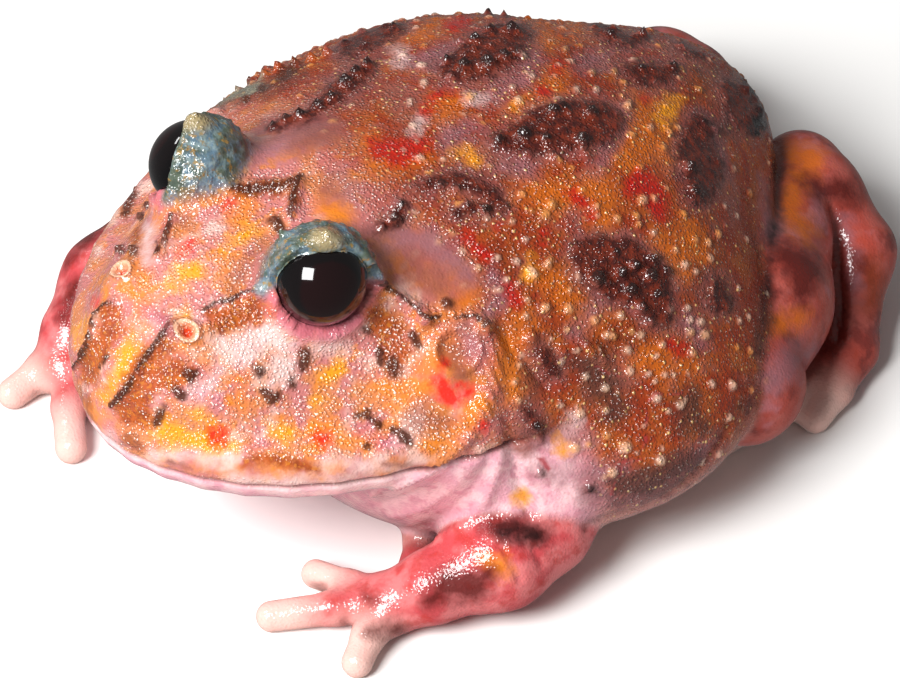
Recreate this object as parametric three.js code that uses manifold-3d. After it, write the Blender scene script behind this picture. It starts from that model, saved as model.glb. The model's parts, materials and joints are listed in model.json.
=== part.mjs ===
// A life-size Argentine horned frog sitting on its belly, as a set of closed solids.
// Millimetres, +Z up. The frog looks along -Y, its left side is +X, and it stands on z = 0.
//
// Flesh is described by signed distances: a form is a function (x, y, z) that is negative inside.
// Forms melt into each other, a net of triangles is drawn over the result, and thin cuts part it.
import * as THREE from "three";
import { mergeVertices } from "three/addons/utils/BufferGeometryUtils.js";
import Module from "manifold-3d";

const wasm = await Module();
wasm.setup();

// Driving dimensions.
const SNOUT_VENT = 90;
const SNOUT_Y = -SNOUT_VENT / 2;
const VENT_Y = SNOUT_VENT / 2;
const BODY_HALF_WIDTH = 38;
const HEAD_HALF_WIDTH = 27;
const MOUTH_CORNER_Y = -13.5;
const MOUTH_Z = 20.8;
const MOUTH_RISE = 1.2;
const GAP = 0.35;
const CORNER_CUT = 0.06;
const EYE_R = 4.9;
const EYE = [10.9, -24.1, 39.4];
const EYE_LOOK = new THREE.Vector3(0.82, -0.34, 0.42).normalize();
const HORN_TIP = [11.3, -23.4, 46.1];
const EYE_RIM = 0.9;
const NOSTRIL = [5, -38, 34.6];
const NOSTRIL_R = 0.9;
const WART_RADIUS = 2.3;
const WART_ROOT = 1.2;
const NECK = { y: -9, z: 20, lean: -0.3 };

// Size of the net's cells, the smaller the finer.
const CELL = { head: 2.6, jaw: 2.8, torso: 4.8, thigh: 4, limb: 3.1, hand: 1.8, foot: 2.1, lid: 1.5 };

// Plain forms.
const ball = ([a, b, c], r) => (x, y, z) => Math.hypot(x - a, y - b, z - c) - r;

function egg([a, b, c], [rx, ry, rz]) {
  return (x, y, z) => {
    const u = (x - a) / rx;
    const v = (y - b) / ry;
    const w = (z - c) / rz;
    const k0 = Math.hypot(u, v, w);
    const k1 = Math.hypot(u / rx, v / ry, w / rz);
    return k1 < 1e-9 ? -Math.min(rx, ry, rz) : (k0 * (k0 - 1)) / k1;
  };
}

// A limb bone: thickness ra at a, rb at b.
function bone([ax, ay, az], [bx, by, bz], ra, rb) {
  const ux = bx - ax;
  const uy = by - ay;
  const uz = bz - az;
  const uu = ux * ux + uy * uy + uz * uz;
  return (x, y, z) => {
    const t = Math.min(1, Math.max(0, ((x - ax) * ux + (y - ay) * uy + (z - az) * uz) / uu));
    return Math.hypot(x - ax - t * ux, y - ay - t * uy, z - az - t * uz) - ra - t * (rb - ra);
  };
}

// Joins and cuts, rounded over a width k.
function soft(a, b, k) {
  const h = Math.max(k - Math.abs(a - b), 0) / k;
  return Math.min(a, b) - (h * h * k) / 4;
}

const melt = (k, ...forms) => (x, y, z) => forms.slice(1).reduce((d, f) => soft(d, f(x, y, z), k), forms[0](x, y, z));

const carve = (k, form, tool) => (x, y, z) => -soft(-form(x, y, z), tool(x, y, z), k);

const pair = (form) => (x, y, z) => form(Math.abs(x), y, z);

// A digit or a curved limb: bones through points [x, y, z, thickness].
function chain(k, points) {
  const bones = points.slice(1).map((p, i) => bone(points[i], p, points[i][3], p[3]));
  return melt(k, ...bones);
}

const grown = (form, by) => (x, y, z) => form(x, y, z) - by;

const mirrorX = ([x, ...rest]) => [-x, ...rest];

// A cell's 12 edges as pairs of corner numbers, and its 6 faces as rings of corners.
const EDGES = [];
for (let corner = 0; corner < 8; corner++)
  for (let axis = 0; axis < 3; axis++) if (!(corner & (1 << axis))) EDGES.push([corner, corner | (1 << axis), axis]);
const edgeNumber = (a, b) => EDGES.findIndex(([p, q]) => p === Math.min(a, b) && q === Math.max(a, b));
const FACES = [];
for (let axis = 0; axis < 3; axis++)
  for (let side = 0; side < 2; side++) {
    const u = 1 << (axis + 1) % 3;
    const v = 1 << (axis + 2) % 3;
    const base = side << axis;
    const corners = [base, base | u, base | u | v, base | v];
    FACES.push({ corners, edges: corners.map((c, i) => edgeNumber(c, corners[(i + 1) % 4])) });
  }

// Which of a cell's crossed edges belong to the same sheet of surface.
function sheetsOf(values) {
  const sheet = EDGES.map((edge, i) => (values[edge[0]] < 0 !== values[edge[1]] < 0 ? i : -1));
  const join = (a, b) => {
    const [from, to] = [sheet[a], sheet[b]];
    sheet.forEach((s, i) => s === from && (sheet[i] = to));
  };
  for (const { corners, edges } of FACES) {
    const crossed = edges.filter((e) => sheet[e] >= 0);
    if (crossed.length === 2) join(...crossed);
    if (crossed.length === 4) {
      const middle = corners.reduce((sum, c) => sum + values[c], 0) < 0;
      const first = values[corners[0]] < 0 === middle ? 0 : 3;
      join(edges[first], edges[(first + 1) % 4]);
      join(edges[(first + 2) % 4], edges[(first + 3) % 4]);
    }
  }
  return sheet;
}

// Surface nets: one vertex in every cell for each sheet of surface in it, drawn to the surface itself.
// The form is closed off flat where it leaves the box between two corners.
function netOver(open, lowest, highest, cell) {
  const low = lowest.map((c) => c - 2 * cell);
  const high = highest.map((c) => c + 2 * cell);
  const form = (x, y, z) => {
    const past = [x, y, z].map((c, a) => Math.max(lowest[a] - c, c - highest[a]));
    return Math.max(open(x, y, z), ...past);
  };
  const n = low.map((l, i) => Math.ceil((high[i] - l) / cell) + 1);
  const index = (i, j, k) => i + n[0] * (j + n[1] * k);
  const step = [1, n[0], n[0] * n[1]];
  const value = new Float64Array(n[0] * n[1] * n[2]);
  for (let k = 0; k < n[2]; k++)
    for (let j = 0; j < n[1]; j++)
      for (let i = 0; i < n[0]; i++)
        value[index(i, j, k)] = form(low[0] + i * cell, low[1] + j * cell, low[2] + k * cell);
  const vertexOf = new Map();
  const points = [];
  for (let k = 0; k < n[2] - 1; k++)
    for (let j = 0; j < n[1] - 1; j++)
      for (let i = 0; i < n[0] - 1; i++) {
        const here = index(i, j, k);
        const corner = (c) => here + (c & 1) * step[0] + ((c >> 1) & 1) * step[1] + (c >> 2) * step[2];
        const values = [0, 1, 2, 3, 4, 5, 6, 7].map((c) => value[corner(c)]);
        const sheet = sheetsOf(values);
        for (const name of new Set(sheet.filter((s) => s >= 0))) {
          const sum = [0, 0, 0];
          let crossings = 0;
          EDGES.forEach(([a, b, axis], e) => {
            if (sheet[e] !== name) return;
            const t = values[a] / (values[a] - values[b]);
            [i + (a & 1), j + ((a >> 1) & 1), k + (a >> 2)].forEach((c, d) => (sum[d] += c + (d === axis ? t : 0)));
            crossings += 1;
            vertexOf.set(here * 12 + e, points.length);
          });
          points.push(sum.map((s, d) => low[d] + (s / crossings) * cell));
        }
      }
  points.forEach((p) => drawTo(form, p, cell));
  const faces = [];
  for (let k = 1; k < n[2] - 1; k++)
    for (let j = 1; j < n[1] - 1; j++)
      for (let i = 1; i < n[0] - 1; i++)
        for (let axis = 0; axis < 3; axis++) {
          const here = index(i, j, k);
          const inside = value[here] < 0;
          if (inside === value[here + step[axis]] < 0) continue;
          const u = (axis + 1) % 3;
          const v = (axis + 2) % 3;
          // The four cells round this grid edge, and the edge's place in each of them.
          const ring = [[1, 1], [0, 1], [0, 0], [1, 0]].map(([du, dv]) => {
            const cellAt = here - du * step[u] - dv * step[v];
            const start = (du << u) | (dv << v);
            return vertexOf.get(cellAt * 12 + edgeNumber(start, start | (1 << axis)));
          });
          if (!inside) ring.reverse();
          const [p, q, r, s] = ring.map((c) => points[c]);
          const slant = distance(p, r) <= distance(q, s) ? [0, 1, 2, 0, 2, 3] : [1, 2, 3, 1, 3, 0];
          faces.push(...slant.map((c) => ring[c]));
        }
  const geometry = new THREE.BufferGeometry();
  geometry.setAttribute("position", new THREE.Float32BufferAttribute(points.flat(), 3));
  geometry.setIndex(faces);
  return geometry;
}

const distance = (a, b) => Math.hypot(a[0] - b[0], a[1] - b[1], a[2] - b[2]);

// Moves a point a few steps down the form's slope until it lies on the surface.
function drawTo(form, p, cell) {
  const e = 0.01;
  const home = p.slice();
  for (let turn = 0; turn < 4; turn++) {
    const d = form(...p);
    const slope = [0, 1, 2].map((a) => {
      const q = p.slice();
      q[a] += e;
      return (form(...q) - d) / e;
    });
    const steep = slope[0] ** 2 + slope[1] ** 2 + slope[2] ** 2;
    if (steep < 1e-6) return;
    slope.forEach((s, a) => {
      const moved = p[a] - (d * s) / steep;
      p[a] = Math.min(home[a] + cell / 2, Math.max(home[a] - cell / 2, moved));
    });
  }
}

// Between three.js geometry and the solids that can be joined and cut.
function solid(geometry, matrix = new THREE.Matrix4()) {
  const bare = geometry.clone().applyMatrix4(matrix);
  bare.deleteAttribute("normal");
  bare.deleteAttribute("uv");
  const merged = mergeVertices(bare, 1e-4);
  return new wasm.Manifold(
    new wasm.Mesh({
      numProp: 3,
      vertProperties: new Float32Array(merged.attributes.position.array),
      triVerts: new Uint32Array(merged.index.array),
    }),
  );
}

function largest(made) {
  const bodies = made.decompose();
  return bodies.sort((a, b) => b.volume() - a.volume())[0];
}

function geometryOf(made) {
  const mesh = made.getMesh();
  const geometry = new THREE.BufferGeometry();
  const at = new Float32Array(mesh.numVert * 3);
  for (let i = 0; i < mesh.numVert; i++)
    at.set(mesh.vertProperties.subarray(i * mesh.numProp, i * mesh.numProp + 3), i * 3);
  geometry.setAttribute("position", new THREE.BufferAttribute(at, 3));
  geometry.setIndex(new THREE.BufferAttribute(mesh.triVerts, 1));
  return geometry;
}

const flesh = (form, low, high, cell) => solid(netOver(form, low, high, cell)).subtract(floor);

// A big block whose one face lies at a plane; the block is on the normal's side of it.
function blockBeyond(point, normal) {
  const side = 240;
  const n = new THREE.Vector3(...normal).normalize();
  const turn = new THREE.Quaternion().setFromUnitVectors(new THREE.Vector3(0, 0, 1), n);
  const middle = new THREE.Vector3(...point).addScaledVector(n, side / 2);
  const matrix = new THREE.Matrix4().compose(middle, turn, new THREE.Vector3(1, 1, 1));
  return solid(new THREE.BoxGeometry(side, side, side), matrix);
}

const floor = blockBeyond([0, 0, 0], [0, 0, -1]);

// The edge of the mouth, seen from above, is half a superellipse; t runs from the snout (0) to a corner (1).
const MOUTH_POWER = 2 / 1.72;
function lipPoint(t, inward = 0) {
  const turn = (t * Math.PI) / 2;
  const x = (HEAD_HALF_WIDTH - inward) * Math.sin(turn) ** MOUTH_POWER;
  const y = MOUTH_CORNER_Y - (MOUTH_CORNER_Y - SNOUT_Y - inward) * Math.cos(turn) ** MOUTH_POWER;
  const z = MOUTH_Z + (MOUTH_RISE * (y - SNOUT_Y)) / (MOUTH_CORNER_Y - SNOUT_Y);
  return [x, y, z];
}

function lip(inward, lift, thickness) {
  const points = [];
  for (let i = 0; i <= 10; i++) {
    const [x, y, z] = lipPoint(i / 10, inward);
    points.push([x, y, z + lift, thickness]);
  }
  return chain(0.4, points);
}

// Head and trunk as one form, parted later at the neck and the mouth.
const skull = melt(
  7,
  egg([0, -16, 23.5], [23, 26, 8.5]),
  egg([0, -19, 30], [15.5, 18, 11.5]),
  egg([0, -33, 28], [10.5, 10.5, 8]),
);
const brows = pair(ball([EYE[0] - 0.4, EYE[1] + 0.2, EYE[2] - 0.5], EYE_R + 1));
const cheeks = pair(egg([18, -11, 22.5], [8.5, 10, 8]));
const nostrilMounds = pair(ball([NOSTRIL[0], NOSTRIL[1] + 0.6, NOSTRIL[2] - 0.7], 1.9));
const browDip = egg([0, -22, 43.5], [5.5, 11, 3]);
const chin = egg([0, -16, 19.5], [22, 24.5, 4.6]);
const throat = pair(egg([7, -10, 9], [19, 14, 10]));
const upperLip = pair(lip(1.9, 1.7, 1.8));
const lowerLip = pair(lip(2.8, -1.5, 2));
const belly = egg([0, 5, 13], [BODY_HALF_WIDTH, 30, 16.5]);
const back = egg([0, 3, 20.5], [28, 31, 18.5]);
const shoulders = egg([0, -10, 22.5], [24.5, 15, 15.3]);
const rump = egg([0, 31, 16.5], [14, 14, 12]);

const eyeOpening = pair((x, y, z) => {
  const out = (x - EYE[0]) * EYE_LOOK.x + (y - EYE[1]) * EYE_LOOK.y + (z - EYE[2]) * EYE_LOOK.z;
  return Math.max(ball(EYE, EYE_R + 2.2)(x, y, z), EYE_RIM - out);
});
const headFlesh = melt(3, melt(5, skull, cheeks), brows, nostrilMounds, upperLip);
const headForm = carve(1, carve(3, headFlesh, browDip), eyeOpening);
const jawForm = melt(2.5, melt(5, chin, throat), lowerLip);
const trunkForm = melt(9, belly, back, shoulders, rump);
const wholeForm = melt(4, headForm, jawForm, trunkForm);

// The upper lid is a hood on the eye, drawn up into a horn.
const lidForm = (() => {
  const hood = (x, y, z) => {
    const out = (x - EYE[0]) * EYE_LOOK.x + (y - EYE[1]) * EYE_LOOK.y + (z - EYE[2]) * EYE_LOOK.z;
    return Math.max(ball(EYE, EYE_R + 1.25)(x, y, z), out - EYE_RIM - 0.4, EYE[2] - 0.5 - z + 0.35 * (x - EYE[0]));
  };
  return melt(2.5, hood, bone([EYE[0] - 0.6, EYE[1], EYE[2] + 3.6], HORN_TIP, 3, 0.7));
})();

// Limbs.
const arm = {
  left: { shoulder: [25, -6, 13], elbow: [30.5, -9.5, 7.4], wrist: [27.4, -22.6, 4.6] },
  right: { shoulder: [-24, -12, 13], elbow: [-30.5, -17.5, 8], wrist: [-27.6, -30, 4.4] },
};
const fingers = {
  left: [
    [[24, -22.5, 2.6, 2.2], [20, -18.5, 2, 1.6], [17.5, -15.5, 1.3, 1.5]],
    [[25, -26, 2.8, 2.4], [20, -28.2, 2.1, 1.6], [15.8, -29.6, 1.3, 1.6]],
    [[25, -26.5, 2.8, 2.6], [21.5, -31.5, 2.2, 1.8], [17.6, -37, 1.3, 1.7]],
    [[26, -26.5, 2.8, 2.4], [26.8, -31, 2.1, 1.7], [28.4, -33.8, 1.3, 1.7]],
  ],
  right: [
    [[-24.5, -30, 2.6, 2.2], [-20, -28, 2, 1.6], [-16.5, -26.5, 1.3, 1.5]],
    [[-24.5, -32, 2.8, 2.4], [-19, -32.5, 2.1, 1.6], [-14.5, -33, 1.3, 1.5]],
    [[-25, -33, 2.8, 2.4], [-20.5, -36.5, 2.1, 1.8], [-16, -39.4, 1.3, 1.8]],
    [[-26.5, -32, 2.8, 2.4], [-27, -35.5, 2.1, 1.9], [-26.9, -39.6, 1.3, 1.8]],
  ],
};
const leg = { hip: [9, 30, 16], knee: [29.5, 19.5, 10], heel: [9.5, 46, 11], foot: [26.8, 38.4, 3.8] };
const toes = [
  [[23, 38, 2.6, 2.4], [21, 33, 1.9, 1.6], [19.5, 30, 1.2, 1.5]],
  [[24.5, 37, 2.6, 2.4], [23, 30, 1.9, 1.6], [21.5, 26, 1.2, 1.5]],
  [[26, 37, 2.6, 2.6], [26, 28, 2, 1.7], [25, 20, 1.2, 1.5]],
  [[28, 37, 2.6, 2.6], [29.6, 27, 2, 1.7], [29, 16.5, 1.2, 1.5]],
  [[29, 37, 2.8, 2.6], [31.6, 32, 2.2, 1.9], [32.8, 28, 1.3, 1.7]],
];

function armForms({ shoulder, elbow, wrist }, digits) {
  const palm = [wrist[0] * 0.93, wrist[1] - 3.4, 3];
  return {
    upper_arm: bone(shoulder, elbow, 6.5, 4.6),
    forearm: chain(3, [[...elbow, 4.8], [elbow[0] * 0.98, elbow[1] - 6, 6.4, 5.2], [...wrist, 3.9]]),
    hand: melt(1.6, bone(wrist, palm, 3.6, 3.2), ...digits.map((d) => chain(1, d))),
  };
}

function legForms({ hip, knee, heel, foot }, digits) {
  const calf = [(knee[0] * 2 + heel[0]) / 3, (knee[1] * 2 + heel[1]) / 3, 11.5, 7];
  return {
    thigh: bone(hip, knee, 9, 7),
    shank: chain(4, [[...knee, 5.8], calf, [...heel, 5]]),
    foot: melt(2, chain(3, [[...heel, 4.6], [20, 45, 7, 4.3], [...foot, 3.4]]), ...digits.map((d) => chain(1, d))),
  };
}

const across = (forms) => Object.fromEntries(Object.entries(forms).map(([name, form]) => [name, pair(form)]));

const frog = new THREE.Group();
const placed = [];

// Adds a piece to the frog, cut clear of every piece that is there already.
function place(name, made, clearance, colour, roughness = 0.4) {
  const cut = largest(placed.reduce((rest, other) => rest.subtract(other), made));
  if (clearance) placed.push(clearance);
  const material = new THREE.MeshStandardMaterial({ color: colour, roughness, metalness: 0 });
  const mesh = new THREE.Mesh(geometryOf(cut), material);
  mesh.name = name;
  frog.add(mesh);
}

// The coarser the net, the more room it leaves, because a net cuts the corners of its form.
function placeFlesh(name, form, [low, high], cell, colour, roughness) {
  const room = grown(form, GAP + CORNER_CUT * cell);
  place(name, flesh(form, low, high, cell), flesh(room, low, high, cell), colour, roughness);
}

const flip = ([low, high]) => [
  [-high[0], low[1], low[2]],
  [-low[0], high[1], high[2]],
];
const PINK = 0xd9877f;
const armBox = [[9, -50, -6], [44, 5, 26]];
const legBox = [[0.2, 2, -6], [44, 60, 32]];
const lidBox = [[2, -34, 32], [22, -14, 50]];

for (const side of ["left", "right"]) {
  const here = side === "left" ? (v) => v : mirrorX;
  const boxed = side === "left" ? (b) => b : flip;
  const eye = (r) => solid(new THREE.SphereGeometry(r, 18, 10).translate(...here(EYE)));
  place(`eye_${side}`, eye(EYE_R), eye(EYE_R + GAP), 0x100a0a, 0.05);
  placeFlesh(`eyelid_${side}`, pair(lidForm), boxed(lidBox), CELL.lid, 0x6f8d90);
  const arms = armForms(arm[side], fingers[side]);
  placeFlesh(`forearm_${side}`, arms.forearm, boxed(armBox), CELL.limb, PINK);
  placeFlesh(`hand_${side}`, arms.hand, boxed(armBox), CELL.hand, PINK);
  placeFlesh(`upper_arm_${side}`, arms.upper_arm, boxed(armBox), CELL.limb, PINK);
  const legs = across(legForms(leg, toes));
  placeFlesh(`shank_${side}`, legs.shank, boxed(legBox), CELL.limb, PINK);
  placeFlesh(`foot_${side}`, legs.foot, boxed(legBox), CELL.foot, PINK);
  placeFlesh(`thigh_${side}`, legs.thigh, boxed(legBox), CELL.thigh, PINK);
}

// The head and jaw end at the neck; the mouth parts them.
const neckNormal = [0, 1, NECK.lean];
const behindNeck = blockBeyond([0, NECK.y, NECK.z], neckNormal);
const beforeNeck = blockBeyond([0, NECK.y + GAP, NECK.z], neckNormal.map((c) => -c));
const mouthSlope = MOUTH_RISE / (MOUTH_CORNER_Y - SNOUT_Y);
const mouthNormal = [0, -mouthSlope, 1];
const overMouth = blockBeyond([0, SNOUT_Y, MOUTH_Z - GAP], mouthNormal);
const underMouth = blockBeyond([0, SNOUT_Y, MOUTH_Z], mouthNormal.map((c) => -c));
const headBox = [[-40, -48, 14], [40, 4, 52]];
const front = flesh(wholeForm, ...headBox, CELL.head).subtract(behindNeck);
const jawBox = [[-40, -48, -6], [40, -2, 25]];
const under = flesh(wholeForm, ...jawBox, CELL.jaw).subtract(behindNeck);

// Where the line from far out towards the body's long axis meets the surface; the angle is from straight up,
// positive on the frog's left.
const AXIS_Z = 14;
function onBody(y, degrees) {
  const angle = THREE.MathUtils.degToRad(degrees);
  const out = new THREE.Vector3(Math.sin(angle), 0, Math.cos(angle));
  let far = 60;
  for (let turn = 0; turn < 60; turn++) {
    const gap = wholeForm(out.x * far, y, AXIS_Z + out.z * far);
    if (gap < 0.01) break;
    far -= 0.7 * gap;
  }
  const point = new THREE.Vector3(out.x * far, y, AXIS_Z + out.z * far);
  const at = (dx, dy, dz) => wholeForm(point.x + dx, point.y + dy, point.z + dz);
  const e = 0.05;
  const slope = [at(e, 0, 0) - at(-e, 0, 0), at(0, e, 0) - at(0, -e, 0), at(0, 0, e) - at(0, 0, -e)];
  return { point, normal: new THREE.Vector3(...slope).normalize() };
}

// Warts stand in patches: rows are y, angle, spread in y, spread in degrees, how many, their height.
const WART_PATCHES = {
  torso: [
    [3, -27, 3, 5, 4, 1.5],
    [4, -42, 4, 6, 5, 1.5],
    [11.5, -15, 4, 8, 6, 1.4],
    [10, 18, 5, 9, 7, 1.5],
    [5.5, 54, 5, 9, 7, 1.4],
    [27.5, 9, 3, 8, 4, 1.4],
    [29, -10, 3, 7, 3, 1.4],
    [25, 44, 4, 9, 5, 1.3],
    [25, -42, 4, 9, 5, 1.3],
    [0, 63, 4, 8, 4, 1.2],
    [6, -60, 5, 8, 5, 1.3],
    [0, 27, 3, 5, 3, 1.4],
  ],
  head: [
    [-11, -45, 3, 6, 5, 1.4],
    [-9, -26, 4, 3, 4, 1.4],
    [-11, 20, 4, 3, 4, 1.3],
    [-22.5, 1, 1.5, 8, 4, 1.1],
    [-30, -42, 2.5, 9, 4, 1.2],
    [-33, -14, 3, 3, 3, 1],
    [-18, 50, 4, 3, 3, 1],
  ],
};

// A repeatable random number from 0 to 1.
let seed = 7;
function random() {
  seed = (seed * 1103515245 + 12345) % 2147483648;
  return seed / 2147483648;
}

function wartsOn(patches) {
  const warts = [];
  for (const [y, degrees, spreadY, spreadAngle, count, height] of patches)
    for (let i = 0; i < count; i++) {
      // Warts are laid out on a sunflower spiral so that none stands on another.
      const reach = Math.sqrt((i + 0.5) / count);
      const turn = i * 2.4 + random() * 0.4;
      const { point, normal } = onBody(y + spreadY * reach * Math.cos(turn), degrees + spreadAngle * reach * Math.sin(turn));
      const tall = height * (0.8 + 0.4 * random()) + WART_ROOT;
      const wide = WART_RADIUS * (0.85 + 0.3 * random());
      const wart = new THREE.CylinderGeometry(wide * 0.25, wide, tall, 5);
      const stand = new THREE.Quaternion().setFromUnitVectors(new THREE.Vector3(0, 1, 0), normal);
      const middle = point.addScaledVector(normal, tall / 2 - WART_ROOT);
      warts.push(solid(wart, new THREE.Matrix4().compose(middle, stand, new THREE.Vector3(1, 1, 1))));
    }
  return warts;
}

const warty = (made, patches) => wartsOn(patches).reduce((body, wart) => body.add(wart), made);

const pits = ["left", "right"].map((side) => {
  const at = side === "left" ? NOSTRIL : mirrorX(NOSTRIL);
  return solid(new THREE.SphereGeometry(NOSTRIL_R, 7, 5).translate(...at));
});
const skin = pits.reduce((rest, pit) => rest.subtract(pit), warty(front.subtract(underMouth), WART_PATCHES.head));
place("head", skin, null, 0xcf8a5f);
place("lower_jaw", under.subtract(overMouth), null, 0xe6b9b4);
const torsoBox = [[-42, -22, -6], [42, 52, 52]];
const trunk = flesh(wholeForm, ...torsoBox, CELL.torso).subtract(beforeNeck);
place("torso", warty(trunk, WART_PATCHES.torso), null, 0xb9713f);

// The origin is the middle of the bounding box, on the floor.
const box = new THREE.Box3().setFromObject(frog);
const middle = box.getCenter(new THREE.Vector3());
for (const mesh of frog.children) mesh.geometry.translate(-middle.x, -middle.y, -box.min.z);

export default frog;
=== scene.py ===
# %% [markdown]
# # An Argentine horned frog in Blender
#
# The frog is a still, life-size museum model.  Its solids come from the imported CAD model, which gives the
# sizes and the pose.  Blender adds what the solids leave out: one unbroken skin with warts, folds and lids,
# the painted-looking markings, wet glossy eyes, a floor and soft light.
#
# Numbers in this lesson are millimetres in the frog's own frame: it looks along -Y, its left side is +X and
# it sits on z = 0.  They become metres only when they enter Blender.

import json
import math

import bpy
import numpy as np
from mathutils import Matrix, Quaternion, Vector
from mathutils.kdtree import KDTree

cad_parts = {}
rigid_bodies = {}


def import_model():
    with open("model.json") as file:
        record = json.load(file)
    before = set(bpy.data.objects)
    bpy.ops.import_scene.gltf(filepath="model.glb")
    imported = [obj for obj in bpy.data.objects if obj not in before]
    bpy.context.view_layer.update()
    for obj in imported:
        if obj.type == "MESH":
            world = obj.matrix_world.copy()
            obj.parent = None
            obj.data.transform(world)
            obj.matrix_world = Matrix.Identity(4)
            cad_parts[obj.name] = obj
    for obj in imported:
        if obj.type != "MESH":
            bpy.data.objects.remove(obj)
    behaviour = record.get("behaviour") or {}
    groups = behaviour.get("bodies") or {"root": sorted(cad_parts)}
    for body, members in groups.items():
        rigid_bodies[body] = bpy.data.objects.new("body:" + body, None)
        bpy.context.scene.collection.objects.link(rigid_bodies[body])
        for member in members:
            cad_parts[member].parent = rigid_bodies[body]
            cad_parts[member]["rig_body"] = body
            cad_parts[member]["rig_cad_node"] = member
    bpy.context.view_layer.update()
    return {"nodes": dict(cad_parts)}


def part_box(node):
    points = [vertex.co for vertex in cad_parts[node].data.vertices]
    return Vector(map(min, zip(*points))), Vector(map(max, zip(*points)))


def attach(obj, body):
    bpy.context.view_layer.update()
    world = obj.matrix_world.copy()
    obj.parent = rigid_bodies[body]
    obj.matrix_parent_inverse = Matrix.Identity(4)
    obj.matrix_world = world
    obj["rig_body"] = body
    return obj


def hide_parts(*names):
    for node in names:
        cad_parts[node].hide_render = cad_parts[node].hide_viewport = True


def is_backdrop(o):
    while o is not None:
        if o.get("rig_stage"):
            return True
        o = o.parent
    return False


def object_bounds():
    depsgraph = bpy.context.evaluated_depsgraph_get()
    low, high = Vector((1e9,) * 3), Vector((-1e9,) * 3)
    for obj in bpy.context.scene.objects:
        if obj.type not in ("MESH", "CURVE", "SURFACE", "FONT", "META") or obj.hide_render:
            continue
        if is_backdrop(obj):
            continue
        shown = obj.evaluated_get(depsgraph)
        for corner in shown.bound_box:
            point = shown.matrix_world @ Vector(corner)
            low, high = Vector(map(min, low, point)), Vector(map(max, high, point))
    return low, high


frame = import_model()
MM = 0.001


def deselect():
    """Operators act on everything selected, and the loaded nodes are, so each job starts with nothing."""
    bpy.ops.object.select_all(action="DESELECT")


def unit(vector):
    vector = np.array(vector, float)
    return vector / np.linalg.norm(vector)


deselect()

# %% [markdown]
# ## Landmarks
#
# The CAD model was centred after it was made, so its frame is a little off the frog's own one.  The left
# eye is known in both, and the difference between the two places is the shift for everything else.

# %% Landmarks shared with the solids
EYE_R = 4.9
EYE = np.array([10.9, -24.1, 39.4])
EYE_LOOK = unit([0.82, -0.34, 0.42])
HORN_TIP = np.array([11.3, -23.4, 46.1])
NOSTRIL = np.array([5, -38, 34.6])
SNOUT_Y = -45
HEAD_HALF_WIDTH = 27
MOUTH_CORNER_Y = -13.5
MOUTH_Z = 20.8
MOUTH_RISE = 1.2
MOUTH_POWER = 2 / 1.72

eye_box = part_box("eye_left")
SHIFT = np.array((eye_box[0] + eye_box[1]) / 2) / MM - EYE
print("the CAD frame is shifted by", SHIFT.round(2), "mm")

# %% [markdown]
# ## Camera
#
# The photograph was taken from the frog's front left, from well above.  The angles, the distance and the
# long lens were found by laying the solids over the photograph.  The camera comes first, because the
# markings are placed by looking through it.

# %% Camera at the photograph's angle
PHOTO = (900, 678)
AIM = np.array([0, 1.9, 4.7])
AZIMUTH = math.radians(51)
ELEVATION = math.radians(46)
CAMERA_DISTANCE = 500
LENS = 177.2
SENSOR = 36

BACK = np.array(
    [
        math.sin(AZIMUTH) * math.cos(ELEVATION),
        -math.cos(AZIMUTH) * math.cos(ELEVATION),
        math.sin(ELEVATION),
    ]
)
RIGHT = unit(np.cross([0, 0, 1], BACK))
UP = np.cross(BACK, RIGHT)
CAMERA_AT = AIM + BACK * CAMERA_DISTANCE

deselect()
bpy.ops.object.camera_add(location=Vector((CAMERA_AT + SHIFT) * MM))
camera = bpy.context.active_object
camera.rotation_mode = "QUATERNION"
camera.rotation_quaternion = Vector(-BACK).to_track_quat("-Z", "Y")
camera.data.lens = LENS
camera.data.sensor_width = SENSOR
camera.data.sensor_fit = "HORIZONTAL"
camera.data.clip_start = 0.01
camera.data.clip_end = 20
bpy.context.scene.camera = camera
print("camera at", [round(c, 3) for c in camera.location])

# %% [markdown]
# ## Forms
#
# Flesh is soft, and its parts run into each other.  Subdivided boxes could give that, but every limb would
# need its own seam.  The solids were drawn from signed distances instead: a form is a function that is
# negative inside, and two forms melt where their distances are blended.  The same few forms are written
# again here for many points at once, so that the skin can be drawn to them as finely as it needs.

# %% Plain forms and how they join


def length(v):
    return np.sqrt(np.einsum("ij,ij->i", v, v))


def ball(centre, radius):
    centre = np.array(centre, np.float32)
    return lambda p: length(p - centre) - radius


def egg(centre, half):
    centre, half = np.array(centre, np.float32), np.array(half, np.float32)

    def form(p):
        u = (p - centre) / half
        k0 = length(u)
        k1 = length(u / half)
        return k0 * (k0 - 1) / np.maximum(k1, 1e-9)

    return form


def bone(a, b, thick_a, thick_b):
    a, b = np.array(a, np.float32), np.array(b, np.float32)
    along = b - a
    share = along / max(along @ along, 1e-9)

    def form(p):
        v = p - a
        t = np.clip(v @ share, 0, 1)
        return length(v - t[:, None] * along) - thick_a - t * (thick_b - thick_a)

    return form


def soft(a, b, k):
    h = np.maximum(k - np.abs(a - b), 0) / k
    return np.minimum(a, b) - h * h * k / 4


def melt(k, *forms):
    def form(p):
        d = forms[0](p)
        for other in forms[1:]:
            d = soft(d, other(p), k)
        return d

    return form


def carve(k, form, tool):
    return lambda p: -soft(-form(p), tool(p), k)


def on_left(p):
    """The points, with those of the right side moved to the same place on the left."""
    return np.column_stack([np.abs(p[:, 0]), p[:, 1], p[:, 2]])


def pair(form):
    """The same form on both sides of the frog."""
    return lambda p: form(on_left(p))


def chain(k, points):
    """A digit or a curved limb: bones through rows of x, y, z, thickness."""
    return melt(k, *[bone(a[:3], b[:3], a[3], b[3]) for a, b in zip(points, points[1:])])


FAR = 5.0


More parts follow.
